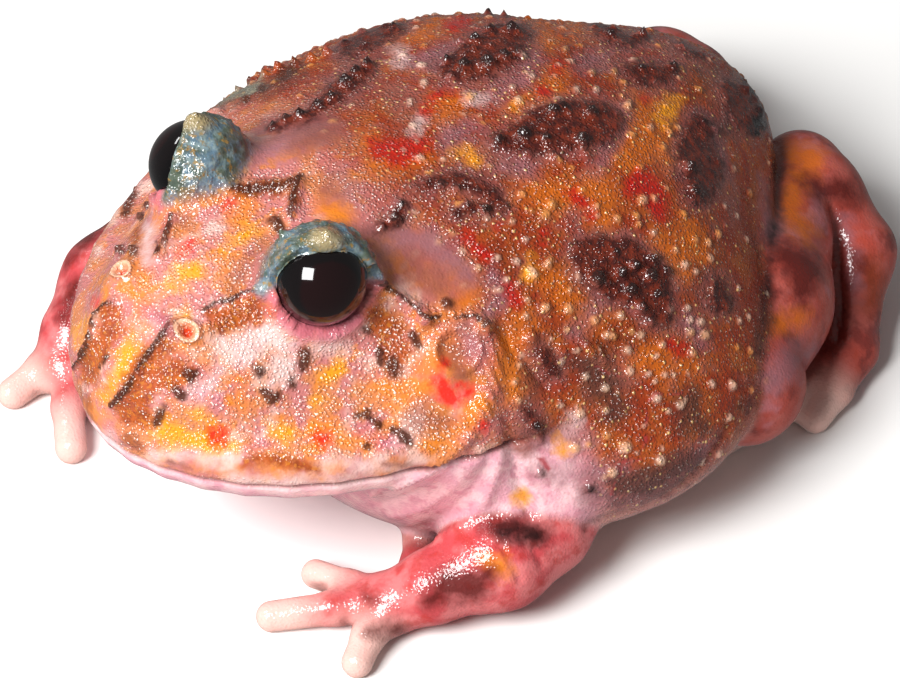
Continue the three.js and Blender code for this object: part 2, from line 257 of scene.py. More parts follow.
def within(low, high, form):
    """The form where it matters: points far outside the box just count as far away."""
    low, high = np.array(low) - FAR, np.array(high) + FAR

    def boxed(p):
        d = np.full(len(p), FAR, p.dtype)
        near = ((p > low) & (p < high)).all(axis=1)
        d[near] = form(p[near])
        return d

    return boxed


def slope_of(form, p, step=0.03):
    """The form's value at the points and how steeply it rises along x, y and z."""
    p = p.astype(np.float32)
    d = form(p)
    steps = step * np.eye(3, dtype=np.float32)
    return d, np.column_stack([(form(p + way) - d) / step for way in steps])


print("a test ball is", ball(EYE, EYE_R)(np.array([[0.0, 0.0, 0.0]]))[0].round(2), "mm from the origin")

# %% [markdown]
# ## Head, jaw and trunk
#
# A horned frog is mostly head and belly: a wide low skull, a mouth as wide as the body, eyes set high, and
# a back that bulges over both.  Each bulge is one egg, and the joins are wide where the flesh is thick.
# The lips are beads that run round the mouth.

# %% The big forms
def lip_point(t, inward=0):
    turn = t * math.pi / 2
    x = (HEAD_HALF_WIDTH - inward) * math.sin(turn) ** MOUTH_POWER
    y = MOUTH_CORNER_Y - (MOUTH_CORNER_Y - SNOUT_Y - inward) * math.cos(turn) ** MOUTH_POWER
    return [x, y, MOUTH_Z + MOUTH_RISE * (y - SNOUT_Y) / (MOUTH_CORNER_Y - SNOUT_Y)]


def lip(inward, lift, thickness):
    beads = [lip_point(i / 10, inward) for i in range(11)]
    return chain(0.4, [[x, y, z + lift, thickness] for x, y, z in beads])


skull = melt(
    7,
    egg([0, -16, 23.5], [23, 26, 8.5]),
    egg([0, -19, 30], [15.5, 18, 11.5]),
    egg([0, -33, 28], [10.5, 10.5, 8]),
)
brows = pair(ball(EYE + [-0.4, 0.2, -0.5], EYE_R + 1))
cheeks = pair(egg([18, -11, 22.5], [8.5, 10, 8]))
nostril_mounds = pair(ball(NOSTRIL + [0, 0.6, -0.7], 1.9))
brow_dip = egg([0, -22, 43.5], [5.5, 11, 3])
chin = egg([0, -16, 19.5], [22, 24.5, 4.6])
throat = pair(egg([7, -10, 9], [19, 14, 10]))
lip_box = [0, -46, 14], [30, -8, 27]
upper_lip = pair(within(*lip_box, lip(1.9, 1.7, 1.8)))
lower_lip = pair(within(*lip_box, lip(2.8, -1.5, 2)))
belly = egg([0, 5, 13], [38, 30, 16.5])
back = egg([0, 3, 20.5], [28, 31, 18.5])
shoulders = egg([0, -10, 22.5], [24.5, 15, 15.3])
rump = egg([0, 31, 16.5], [14, 14, 12])


def out_of_eye(p, look=EYE_LOOK):
    """How far a point lies in front of the middle of the left eye."""
    return (p - EYE) @ look


LOWER_LOOK = unit([0.69, -0.58, 1.07])
LOWER_FRONT = 1.35
RIM_R = EYE_R + 0.1
RIM_TUBE = 0.45


def eye_opening(p):
    return np.maximum(ball(EYE, EYE_R + 2.2)(p), LOWER_FRONT - out_of_eye(p, LOWER_LOOK))


head_flesh = melt(3, melt(5, skull, cheeks), brows, nostril_mounds, upper_lip)
head_form = carve(1, carve(3, head_flesh, brow_dip), pair(eye_opening))
jaw_form = melt(2.5, melt(5, chin, throat), lower_lip)
trunk_form = melt(9, belly, back, shoulders, rump)
body_form = melt(4, head_form, jaw_form, trunk_form)
print("the jaw hangs from", MOUTH_Z, "mm at the snout; the corners are", MOUTH_RISE, "mm higher")

# %% [markdown]
# ## Lids
#
# The upper lid is a hood over the eye, drawn up into the little horn that names the animal.  The lower lid
# is a narrow rim.  The hood is a ball a little bigger than the eyeball, cut off by an upright plane that
# faces out and forward.  Both planes were set so that as much of each eye shows as in the photograph.

# %% Hood, rim and horn
HOOD_LOOK = unit([0.83, -0.44, 0])
HOOD_FRONT = 0.5
HOOD_R = EYE_R + 0.85
HOOD_DROP = 1.2


def hood(p):
    lower_edge = EYE[2] - HOOD_DROP + 0.2 * (p[:, 0] - EYE[0])
    shell = np.maximum(ball(EYE, HOOD_R)(p), out_of_eye(p, HOOD_LOOK) - HOOD_FRONT)
    return np.maximum(shell, lower_edge - p[:, 2])


def lid_rim(p):
    """A rounded ring round the eye, just in front of its widest part."""
    out = out_of_eye(p, LOWER_LOOK)
    across = length(p - EYE - out[:, None] * LOWER_LOOK)
    return np.hypot(across - RIM_R, out - LOWER_FRONT + 0.1) - RIM_TUBE


horn = chain(
    1,
    [
        [10.2, -23.8, 41.4, 3.2],
        [10.9, -23.5, 43.7, 1.3],
        [11.2, -23.4, 45.1, 0.55],
        [*HORN_TIP, 0.15],
    ],
)
lid_form = melt(1.6, hood, horn)
eyeball = ball(EYE, EYE_R)
eye_socket = ball(EYE, EYE_R + 0.04)
print("the horn's tip is", HORN_TIP[2], "mm above the floor")

# %% [markdown]
# ## Limbs
#
# The arms are short and turn inward; the legs are folded beside the belly with the toes forward.  A limb is
# a chain of tapering bones.  The folded leg melts only slightly at its creases, so that thigh, shank and
# foot press against each other and stay separate folds.

# %% Arms and legs
ARMS = {
    1: {"shoulder": [25, -6, 13], "elbow": [30.5, -9.5, 7.4], "wrist": [27.4, -22.6, 4.6]},
    -1: {"shoulder": [-24, -12, 13], "elbow": [-30.5, -17.5, 8], "wrist": [-27.6, -30, 4.4]},
}
FINGERS = {
    1: [
        [[24, -22.5, 2.6, 2.2], [20, -18.5, 2, 1.6], [17.5, -15.5, 1.3, 1.5]],
        [[25, -26, 2.8, 2.4], [20, -28.2, 2.1, 1.6], [15.8, -29.6, 1.3, 1.6]],
        [[25, -26.5, 2.8, 2.6], [21.5, -31.5, 2.2, 1.8], [17.6, -37, 1.3, 1.7]],
        [[26, -26.5, 2.8, 2.4], [26.8, -31, 2.1, 1.7], [28.4, -33.8, 1.3, 1.7]],
    ],
    -1: [
        [[-24.5, -30, 2.6, 2.2], [-20, -28, 2, 1.6], [-16.5, -26.5, 1.3, 1.5]],
        [[-24.5, -32, 2.8, 2.4], [-19, -32.5, 2.1, 1.6], [-14.5, -33, 1.3, 1.5]],
        [[-25, -33, 2.8, 2.4], [-20.5, -36.5, 2.1, 1.8], [-16, -39.4, 1.3, 1.8]],
        [[-26.5, -32, 2.8, 2.4], [-27, -35.5, 2.1, 1.9], [-26.9, -39.6, 1.3, 1.8]],
    ],
}
HIP, KNEE, HEEL, FOOT = [9, 30, 16], [29.5, 19.5, 10], [9.5, 46, 11], [26.8, 38.4, 3.8]
TOES = [
    [[23, 38, 2.6, 2.4], [21, 33, 1.9, 1.6], [19.5, 30, 1.2, 1.5]],
    [[24.5, 37, 2.6, 2.4], [23, 30, 1.9, 1.6], [21.5, 26, 1.2, 1.5]],
    [[26, 37, 2.6, 2.6], [26, 28, 2, 1.7], [25, 20, 1.2, 1.5]],
    [[28, 37, 2.6, 2.6], [29.6, 27, 2, 1.7], [29, 16.5, 1.2, 1.5]],
    [[29, 37, 2.8, 2.6], [31.6, 32, 2.2, 1.9], [32.8, 28, 1.3, 1.7]],
]


def arm_form(side):
    shoulder, elbow, wrist = (ARMS[side][name] for name in ("shoulder", "elbow", "wrist"))
    palm = [wrist[0] * 0.93, wrist[1] - 3.4, 3]
    forearm = chain(3, [[*elbow, 4.8], [elbow[0] * 0.98, elbow[1] - 6, 6.4, 5.2], [*wrist, 3.9]])
    hand = melt(1.6, bone(wrist, palm, 3.6, 3.2), *[chain(1, digit) for digit in FINGERS[side]])
    arm = melt(1.8, bone(shoulder, elbow, 6.5, 4.6), forearm, hand)
    box = ([12, -42, 0], [38, 3, 22]) if side > 0 else ([-38, -42, 0], [-12, 3, 22])
    return within(*box, arm)


thigh = bone(HIP, KNEE, 9, 7)
calf = [(KNEE[0] * 2 + HEEL[0]) / 3, (KNEE[1] * 2 + HEEL[1]) / 3, 11.5, 7]
shank = chain(4, [[*KNEE, 5.8], calf, [*HEEL, 5]])
foot = melt(2, chain(3, [[*HEEL, 4.6], [20, 45, 7, 4.3], [*FOOT, 3.4]]), *[chain(1, toe) for toe in TOES])
foot = melt(3, foot, ball([13.5, 44.5, 11], 5.5))
leg_form = pair(within([0, 12, 0], [40, 54, 28], melt(0.7, thigh, shank, foot)))
arms_form = melt(0.5, arm_form(1), arm_form(-1))
limb_form = melt(0.5, arms_form, leg_form)
rims_form = pair(within([3, -32, 32], [20, -16, 47], melt(0.7, lid_form, lid_rim)))


def frog_form(p):
    """The whole frog without its eyeballs, sitting flat on the floor."""
    flesh = soft(body_form(p), rims_form(p), 0.9)
    flesh = soft(flesh, arms_form(p), 2.4)
    flesh = soft(flesh, leg_form(p), 0.8)
    socket = pair(eye_socket)(p)
    return np.maximum(-soft(-flesh, socket, 0.25), -p[:, 2])


print("digits:", sum(len(digits) for digits in FINGERS.values()) + 2 * len(TOES))

# %% [markdown]
# ## One skin from many solids
#
# The solids stop at cuts so that each is a closed body, but the real frog has one skin.  Sculpting it anew
# would lose the sizes.  So the solids are copied, joined, and in the next steps swollen until the cuts
# close and remeshed into a single even net.  Only the copy is changed; the loaded solids stay as they are.

# %% Copy and join the solids
VOXEL = 0.36
SWELL = 0.42
FLESH_NODES = sorted(name for name in frame["nodes"] if not name.startswith("eye_"))

deselect()
for name in FLESH_NODES:
    frame["nodes"][name].select_set(True)
bpy.context.view_layer.objects.active = frame["nodes"]["torso"]
bpy.ops.object.duplicate()
bpy.ops.object.parent_clear(type="CLEAR_KEEP_TRANSFORM")
bpy.ops.object.join()
skin = bpy.context.view_layer.objects.active
skin.name = "skin"
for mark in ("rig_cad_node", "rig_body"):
    del skin[mark]
bpy.ops.object.mode_set(mode="EDIT")
bpy.ops.mesh.select_all(action="SELECT")
bpy.ops.mesh.remove_doubles(threshold=1e-6)
bpy.ops.object.mode_set(mode="OBJECT")
print("joined copy:", len(skin.data.polygons), "faces")

# %% [markdown]
# ## Half a ball in each hood
#
# The lids of the solids are coarse, and a net can be drawn in or out by only a little.  So half a ball is
# joined to the copy on each side, with its flat face at the hood's plane.  It is a little smaller than the
# hood, because it is swollen with the rest.  Bisect could cut it, but the new points come in another order
# on every run, so the front half is pressed flat instead.

# %% Half balls for the hoods
HOOD_BALL_R = EYE_R + 0.35
for side in (1, -1):
    deselect()
    bpy.ops.mesh.primitive_uv_sphere_add(segments=48, ring_count=32, radius=HOOD_BALL_R * MM)
    half_ball = bpy.context.active_object
    bpy.ops.object.mode_set(mode="EDIT")
    bpy.ops.mesh.select_mode(type="VERT")
    bpy.ops.mesh.select_all(action="DESELECT")
    bpy.ops.object.mode_set(mode="OBJECT")
    for vertex in half_ball.data.vertices:
        vertex.select = vertex.co.z > 0
    bpy.ops.object.mode_set(mode="EDIT")
    bpy.ops.transform.resize(value=(1, 1, 0), center_override=(0, 0, 0))
    bpy.ops.object.mode_set(mode="OBJECT")
    look = HOOD_LOOK * [side, 1, 1]
    half_ball.rotation_mode = "QUATERNION"
    half_ball.rotation_quaternion = Vector(look).to_track_quat("Z", "Y")
    half_ball.location = (EYE * [side, 1, 1] + SHIFT + look * (HOOD_FRONT - SWELL)) * MM
    skin.select_set(True)
    bpy.context.view_layer.objects.active = skin
    bpy.ops.object.join()
print("with the half balls:", len(skin.data.polygons), "faces")

# %% [markdown]
# ## Swell and remesh
#
# The cuts between the solids are 0.35 mm wide.  Every face is pushed out by a little more than that, which
# closes them, and the voxel remesh melts what overlaps into one closed net of even cells.

# %% Swell and remesh
def apply_modifier(piece, kind, **settings):
    """Adds a modifier with its settings and applies it at once."""
    deselect()
    piece.select_set(True)
    bpy.context.view_layer.objects.active = piece
    modifier = piece.modifiers.new(kind.title(), kind)
    for name, value in settings.items():
        setattr(modifier, name, value)
    bpy.ops.object.modifier_apply(modifier=modifier.name)


apply_modifier(skin, "DISPLACE", strength=SWELL * MM, mid_level=0)
apply_modifier(skin, "REMESH", mode="VOXEL", voxel_size=VOXEL * MM)
print("remeshed skin:", len(skin.data.polygons), "faces")

# %% [markdown]
# ## Keep the outer skin only
#
# A remesh can leave bubbles where swollen solids crossed.  The outer skin is the piece whose points are
# connected to the highest one; everything else goes.

# %% Drop the bubbles
deselect()
skin.select_set(True)
bpy.context.view_layer.objects.active = skin
top = max(skin.data.vertices, key=lambda v: v.co.z).index
bpy.ops.object.mode_set(mode="EDIT")
bpy.ops.mesh.select_mode(type="VERT")
bpy.ops.mesh.select_all(action="DESELECT")
bpy.ops.object.mode_set(mode="OBJECT")
skin.data.vertices[top].select = True
bpy.ops.object.mode_set(mode="EDIT")
bpy.ops.mesh.select_linked()
bpy.ops.mesh.select_all(action="INVERT")
bpy.ops.mesh.delete(type="VERT")
bpy.ops.object.mode_set(mode="OBJECT")
print("outer skin:", len(skin.data.vertices), "points")

# %% [markdown]
# ## Draw the skin to the forms
#
# The remeshed copy has the steps of its cells and the facets of the solids.  Its points are slid along
# the form's slope until they lie on it, with a little relaxing in between so that the net stays even.

# %% Relax and draw
def points_of(mesh):
    """The mesh's points in the frog's own frame."""
    co = np.empty(len(mesh.vertices) * 3)
    mesh.vertices.foreach_get("co", co)
    return co.reshape(-1, 3) / MM - SHIFT


def set_points(mesh, p):
    mesh.vertices.foreach_set("co", ((p + SHIFT) * MM).astype(np.float32).ravel())
    mesh.update()


def edges_of(mesh):
    ends = np.empty(len(mesh.edges) * 2, np.int64)
    mesh.edges.foreach_get("vertices", ends)
    return ends.reshape(-1, 2)


def relaxed(p, ends, share):
    """Each point moved a share of the way to the middle of its neighbours."""
    total = np.zeros_like(p)
    for axis in range(3):
        total[:, axis] = np.bincount(ends[:, 0], p[ends[:, 1], axis], len(p))
        total[:, axis] += np.bincount(ends[:, 1], p[ends[:, 0], axis], len(p))
    count = np.bincount(ends.ravel(), minlength=len(p))[:, None]
    return p + share * (total / count - p)


def drawn(form, p, most):
    d, slope = slope_of(form, p)
    steep = np.maximum((slope**2).sum(1), 0.05)
    step = np.clip(d / np.sqrt(steep), -most, most)
    return p - (step / np.sqrt(steep))[:, None] * slope


DRAW_ROUNDS = 3
skin_edges = edges_of(skin.data)
base = points_of(skin.data)
for turn in range(DRAW_ROUNDS):
    base = drawn(frog_form, base, 0.5)
    base = relaxed(base, skin_edges, 0.4)
base = drawn(frog_form, base, 0.5)
base = drawn(frog_form, base, 0.3)
base[:, 2] = np.maximum(base[:, 2], 0)
distance, base_slope = slope_of(frog_form, base)
base_normal = base_slope / np.maximum(np.linalg.norm(base_slope, axis=1), 1e-6)[:, None]
print("skin lies within", np.percentile(np.abs(distance), 99).round(3), "mm of the forms")

# %% [markdown]
# ## Marks from the photograph
#
# The frog's pattern is its own: every blotch has a place.  Painting by hand would need an image.  Here each
# mark is a short chain of discs, given by where they are seen in the photograph and how wide they look.
# A line of sight is followed from the camera to the skin, and the disc sits where it meets it.  A mark on
# the visible side may get a twin on the hidden one, because the pattern there can't be seen.

# %% Lines of sight
PX = SENSOR / LENS / PHOTO[0]
PX_WIDE = PX * CAMERA_DISTANCE


def on_photo(p):
    """The pixels of the photograph where points of the frog are seen."""
    v = p - CAMERA_AT
    depth = -(v @ BACK) * PX
    return np.column_stack([PHOTO[0] / 2 + v @ RIGHT / depth, PHOTO[1] / 2 - v @ UP / depth])


def seen_at(pixels):
    """Where the skin is seen at these pixels; a line of sight that misses stops where it passes closest."""
    places = []
    start = Vector((CAMERA_AT + SHIFT) * MM)
    for x, y in pixels:
        across, rise = (x - PHOTO[0] / 2) * PX, (PHOTO[1] / 2 - y) * PX
        ray = Vector(unit(-BACK + across * RIGHT + rise * UP))
        hit, spot, _, _ = skin.ray_cast(start, ray)
        if not hit:
            spot = start + ray * CAMERA_DISTANCE * MM
            for turn in range(6):
                spot = start + ray * ray.dot(spot - start)
                spot = skin.closest_point_on_mesh(spot)[1]
        places.append(np.array(spot) / MM - SHIFT)
    return np.array(places)


set_points(skin.data, base)
bpy.context.view_layer.update()
print("one pixel of the photograph is about", round(PX_WIDE, 3), "mm wide at the frog")

# %% [markdown]
# ## The frog's blotches
#
# The list is read off the photograph, in chains of pixel x, pixel y and radius.  Dark blotches carry
# black cone warts.  Brown bars cross the snout, with thin dark lines along their edges.  The pearl and smooth
# kinds aren't painted: they say where a big pustule stands and where the skin has no grain.

# %% Marks by name
MARKS = {
    "dark": [
        [(345, 52, 8), (358, 44, 12), (372, 42, 12), (388, 32, 9), (400, 28, 6)],
        [(270, 129, 4), (285, 124, 6), (302, 120, 6), (320, 108, 8), (338, 92, 11), (352, 82, 11),
         (368, 70, 8)],
        [(446, 72, 9), (462, 66, 17), (482, 57, 23), (503, 46, 22), (520, 36, 12)],
        [(500, 142, 9), (520, 138, 16), (545, 130, 24), (572, 126, 26), (598, 124, 22), (612, 122, 12)],
        [(402, 208, 6), (396, 220, 7), (384, 226, 5), (378, 230, 3)],
        [(418, 190, 4), (432, 184, 7), (450, 180, 7), (470, 184, 7), (488, 194, 8), (500, 206, 7)],
        [(455, 214, 4), (475, 208, 6), (488, 212, 5)],
        [(585, 252, 14), (600, 262, 26), (620, 270, 32), (645, 285, 26), (656, 310, 14), (664, 320, 8)],
        [(628, 70, 7), (645, 75, 11), (662, 75, 11), (672, 70, 6)],
        [(596, 28, 6), (610, 35, 9), (628, 42, 6), (642, 38, 5)],
        [(678, 45, 3), (688, 52, 4), (702, 58, 3)],
        [(698, 128, 14), (695, 150, 20), (703, 172, 20), (700, 192, 14)],
        [(728, 90, 10), (742, 100, 18), (748, 118, 16)], [(540, 352, 7), (548, 362, 8), (552, 372, 6)],
        [(524, 408, 3), (535, 425, 6), (540, 432, 4)], [(716, 285, 8), (722, 305, 9), (714, 302, 7)],
        [(488, 13, 4)], [(504, 16, 3)], [(590, 488, 4)], [(540, 472, 3)],
    ],
    "black": [
        [(746, 82, 3), (752, 92, 4)], [(760, 108, 4), (758, 124, 9), (755, 132, 5)],
    ],
    "brown": [
        [(112, 312, 10), (112, 328, 13), (102, 346, 10), (92, 362, 10), (88, 378, 8)],
        [(165, 345, 10), (152, 362, 17), (140, 385, 19), (132, 410, 15), (145, 420, 10)],
        [(150, 372, 17), (172, 372, 17), (188, 372, 8)],
        [(212, 314, 8), (222, 322, 12), (238, 314, 17), (252, 306, 14), (254, 318, 9)],
        [(134, 230, 7), (136, 240, 6)], [(172, 218, 3), (165, 236, 6), (160, 250, 5)],
        [(455, 203, 15), (480, 208, 12)],
        [(230, 187, 5), (245, 192, 7), (262, 187, 8), (278, 190, 8), (290, 188, 8), (295, 202, 6)],
        [(272, 312, 3)], [(372, 315, 8), (388, 330, 17), (395, 348, 15), (390, 368, 8)],
        [(248, 463, 5), (262, 459, 6), (280, 459, 7), (300, 465, 5), (318, 470, 3)],
    ],
    "smudge": [
        [(80, 390, 3), (88, 405, 4), (90, 420, 3)], [(130, 440, 8), (140, 447, 5)],
        [(168, 461, 2), (182, 465, 2), (190, 467, 1)], [(384, 464, 2), (400, 465, 2), (420, 467, 1)],
        [(392, 360, 9), (398, 372, 9)], [(370, 296, 3), (364, 304, 3)], [(530, 375, 10), (535, 400, 8)],
    ],
    "spot": [
        [(186, 374, 5), (195, 373, 5), (190, 380, 4)], [(176, 390, 5), (182, 395, 6)],
        [(163, 408, 4), (160, 416, 5), (156, 424, 4)], [(256, 368, 5), (260, 373, 5)],
        [(304, 354, 7), (304, 366, 6)], [(262, 390, 4), (271, 397, 7), (279, 394, 4)],
        [(292, 386, 4), (290, 377, 3)], [(355, 417, 3), (366, 412, 4)], [(368, 417, 3), (378, 425, 5)],
        [(394, 429, 5), (404, 437, 6), (410, 444, 4)], [(366, 446, 4)], [(412, 335, 5), (418, 345, 4)],
        [(379, 352, 5), (380, 362, 4)], [(393, 362, 5), (396, 373, 5)], [(365, 330, 4)], [(120, 250, 6)],
        [(133, 251, 6)], [(246, 99, 5)], [(262, 88, 5)], [(283, 76, 6), (292, 70, 4)], [(148, 206, 5)],
        [(141, 217, 5)], [(135, 190, 4), (130, 202, 5), (124, 216, 4)], [(274, 222, 7), (284, 234, 5)],
        [(232, 186, 4), (246, 193, 5), (264, 190, 4), (280, 189, 4), (292, 186, 5)],
        [(300, 178, 4), (297, 190, 4), (293, 203, 5), (292, 216, 4)], [(446, 304, 6)],
    ],
    "line": [
        [(172, 325, 2), (165, 335, 3), (158, 345, 3), (150, 355, 3), (138, 370, 2), (133, 382, 3),
         (125, 392, 4), (114, 404, 3)],
        [(114, 303, 2), (105, 305, 3), (98, 316, 2), (93, 330, 2), (92, 342, 2), (85, 355, 3),
         (78, 368, 2)],
        [(108, 355, 2), (100, 368, 2)],
        [(203, 312, 2), (215, 304, 2), (230, 301, 3), (243, 294, 2), (262, 289, 2)],
        [(175, 215, 2), (171, 232, 2), (166, 246, 2), (158, 257, 2)], [(156, 242, 2), (158, 255, 2)],
        [(372, 275, 2), (378, 284, 3), (388, 291, 3), (402, 299, 2), (416, 309, 2), (424, 319, 3),
         (440, 317, 2)],
        [(455, 318, 2), (475, 316, 2), (482, 327, 3)],
    ],
    "red": [
        [(372, 138, 6), (378, 148, 10), (395, 154, 13), (412, 150, 13), (424, 145, 7)],
        [(452, 24, 8), (465, 20, 7)], [(425, 112, 6), (430, 118, 5)], [(438, 96, 6), (452, 92, 5)],
        [(557, 68, 6)], [(541, 92, 6), (551, 92, 4)], [(572, 193, 7), (585, 205, 7), (590, 216, 6)],
        [(632, 188, 8), (642, 178, 11), (655, 198, 13), (660, 214, 8)], [(545, 240, 4), (543, 232, 4)],
        [(466, 236, 5), (476, 248, 6), (484, 256, 7)], [(510, 290, 7), (517, 303, 7)], [(497, 226, 4)],
        [(228, 205, 5)], [(191, 243, 5), (186, 250, 6)], [(213, 435, 7), (219, 440, 8), (222, 432, 5)],
        [(317, 436, 6), (324, 440, 7)], [(438, 382, 7), (452, 396, 11), (466, 391, 8)], [(483, 425, 6)],
        [(645, 98, 5)], [(672, 345, 6), (682, 352, 6)], [(444, 365, 5)], [(95, 301, 4)],
    ],
    "yellow": [
        [(132, 345, 7), (127, 362, 8), (118, 380, 8), (108, 395, 6)],
        [(160, 432, 8), (180, 436, 11), (202, 442, 9), (232, 446, 6)], [(195, 410, 8), (206, 418, 7)],
        [(228, 242, 5), (244, 234, 7), (256, 226, 6)], [(178, 268, 7), (195, 273, 9), (172, 285, 7)],
        [(186, 314, 6)], [(80, 345, 4), (78, 330, 4), (84, 320, 3)], [(327, 376, 9), (340, 368, 9)],
        [(316, 402, 6)], [(290, 434, 8), (275, 430, 6)], [(666, 115, 9), (672, 104, 6)],
        [(460, 155, 6), (472, 161, 6)], [(528, 275, 6), (530, 262, 5)], [(518, 102, 5)], [(560, 445, 8)],
        [(520, 500, 6)],
    ],
    "orange": [
        [(205, 352, 7), (208, 362, 6)], [(135, 228, 4), (136, 238, 4)],
        [(240, 180, 8), (250, 205, 9), (236, 218, 10)], [(318, 207, 8), (342, 214, 9)],
        [(136, 262, 6), (145, 278, 6), (132, 295, 6), (150, 300, 6)],
        [(345, 440, 8), (330, 428, 8), (370, 448, 5)], [(398, 400, 12), (425, 385, 14), (385, 388, 9)],
        [(450, 342, 9), (440, 362, 12), (470, 300, 9), (478, 325, 7)],
        [(430, 446, 9), (466, 425, 11), (480, 400, 9)],
        [(510, 340, 13), (520, 318, 12), (505, 370, 12), (515, 395, 10)], [(215, 435, 14)],
        [(318, 436, 13)], [(640, 110, 14), (662, 130, 16), (668, 155, 14)], [(238, 400, 9), (245, 385, 6)],
        [(365, 138, 9), (375, 165, 9), (425, 160, 9)], [(572, 20, 14), (592, 32, 9)],
        [(640, 105, 18), (655, 125, 20), (640, 145, 18), (622, 160, 12)],
        [(430, 105, 9), (455, 100, 9), (445, 120, 8)], [(520, 108, 8), (545, 98, 12), (556, 78, 9)],
        [(530, 190, 14), (560, 200, 14), (600, 185, 14), (600, 225, 12)],
        [(640, 360, 12), (660, 350, 13), (662, 372, 11), (690, 366, 9)],
        [(590, 320, 12), (560, 300, 12), (548, 275, 9)],
        [(660, 240, 10), (680, 270, 14), (690, 230, 14), (700, 255, 10)],
        [(420, 35, 10), (440, 22, 8), (395, 45, 6)], [(530, 18, 8), (552, 40, 8)],
        [(785, 152, 12), (812, 158, 13), (795, 182, 13), (788, 212, 11), (805, 232, 10)],
        [(780, 325, 8), (802, 318, 8)], [(486, 562, 8), (502, 566, 9)],
    ],
    "russet": [
        [(700, 225, 12), (708, 262, 12), (690, 295, 10)], [(520, 438, 14), (545, 432, 14), (572, 440, 9)],
        [(690, 80, 10), (700, 100, 9)], [(510, 270, 10), (500, 255, 8)], [(410, 178, 8), (500, 178, 8)],
        [(640, 335, 12), (600, 345, 9)], [(870, 270, 12), (875, 300, 12)],
    ],
    "lilac": [
        [(240, 148, 12), (280, 145, 15), (320, 128, 12)],
        [(380, 250, 10), (400, 240, 12), (425, 240, 14), (448, 255, 14), (468, 275, 10)],
        [(340, 180, 9), (350, 195, 9)], [(150, 220, 6), (152, 240, 7), (148, 258, 6)],
        [(410, 65, 10), (430, 60, 12), (445, 55, 10)], [(500, 92, 10), (520, 80, 10), (535, 60, 8)],
        [(585, 62, 9), (612, 55, 9)], [(470, 128, 10), (450, 135, 9)], [(500, 165, 8), (530, 172, 8)],
        [(600, 165, 8), (625, 100, 6)], [(690, 325, 13), (702, 338, 9)],
        [(490, 275, 8), (505, 300, 6), (460, 330, 8), (475, 345, 8)], [(575, 330, 8), (598, 305, 7)],
        [(590, 512, 9), (604, 506, 6)],
        [(590, 492, 10), (620, 500, 12), (655, 490, 12), (690, 465, 11), (712, 440, 8)],
        [(560, 475, 10), (625, 470, 9)], [(700, 125, 8), (715, 150, 8), (715, 175, 8)],
        [(768, 205, 8), (772, 230, 7), (764, 178, 5)], [(790, 360, 16), (775, 378, 14), (812, 350, 10)],
        [(845, 225, 5), (852, 260, 6), (856, 290, 5)],
    ],
    "dusky": [
        [(262, 246, 7), (248, 266, 10), (232, 285, 9)], [(182, 224, 7), (186, 214, 5)],
        [(160, 316, 6), (176, 334, 4)], [(410, 265, 16), (435, 285, 16)],
        [(390, 95, 12), (415, 125, 12), (400, 112, 9)], [(300, 145, 10), (330, 130, 10)],
        [(345, 60, 8), (360, 105, 8)], [(330, 190, 12)], [(420, 420, 14)],
        [(450, 352, 12), (462, 374, 10)], [(520, 440, 12)], [(425, 412, 12), (440, 424, 10)],
    ],
    "pink": [
        [(300, 331, 6), (326, 334, 8), (352, 324, 7)], [(150, 312, 7), (162, 328, 6), (148, 338, 5)],
        [(192, 402, 7), (204, 395, 6), (216, 400, 5)], [(382, 442, 9), (398, 444, 9)], [(358, 428, 6)],
        [(250, 450, 3), (272, 444, 2)],
    ],
    "cream": [
        [(236, 345, 11), (258, 340, 13), (282, 340, 12)], [(222, 362, 8)],
        [(268, 380, 7), (282, 374, 8), (290, 366, 6)], [(90, 428, 7), (104, 440, 7), (120, 452, 5)],
        [(150, 456, 4), (190, 455, 5), (215, 458, 5), (236, 455, 3)],
        [(330, 462, 5), (360, 465, 5), (400, 472, 3)], [(318, 345, 8), (340, 348, 8)],
        [(150, 230, 5), (146, 255, 5)], [(575, 420, 8)], [(420, 125, 5)], [(196, 398, 9), (210, 386, 8)],
        [(230, 479, 4), (280, 484, 5), (330, 486, 5), (390, 486, 4)], [(400, 55, 8)], [(475, 98, 5)],
    ],
    "pearl": [
        [(424, 84, 5)], [(410, 102, 4)], [(642, 200, 6)], [(617, 219, 5)], [(545, 215, 6)],
        [(568, 309, 6)], [(545, 308, 6)], [(607, 335, 5)], [(620, 316, 5)], [(627, 350, 5)],
        [(692, 353, 5)], [(533, 275, 6)], [(596, 207, 4)], [(597, 216, 3)], [(653, 233, 4)],
        [(638, 225, 4)], [(552, 205, 6)], [(525, 240, 4)], [(675, 250, 4)], [(695, 240, 4)],
        [(684, 265, 5)], [(695, 272, 4)], [(582, 190, 4)], [(512, 222, 4)], [(640, 168, 4)],
        [(616, 157, 3)], [(650, 128, 4)], [(668, 126, 3)], [(628, 104, 4)], [(663, 148, 4)],
        [(700, 322, 5)], [(704, 335, 6)], [(690, 332, 5)], [(575, 448, 6)], [(588, 444, 4)],
        [(625, 447, 7)], [(656, 398, 6)], [(664, 375, 4)], [(648, 374, 4)], [(712, 385, 4)],
        [(732, 386, 5)], [(680, 405, 5)], [(514, 382, 4)], [(520, 365, 4)], [(518, 400, 4)],
        [(560, 405, 4)], [(578, 405, 3)], [(605, 388, 5)], [(606, 410, 4)], [(660, 460, 6)],
        [(612, 472, 6)], [(506, 280, 4)], [(497, 258, 4)], [(478, 268, 4)], [(500, 290, 4)],
        [(478, 325, 3)], [(592, 73, 4)], [(596, 90, 4)], [(614, 72, 4)], [(576, 90, 4)], [(565, 50, 4)],
        [(532, 77, 4)], [(512, 88, 4)], [(518, 101, 5)], [(470, 98, 6)], [(480, 116, 3)], [(640, 335, 5)],
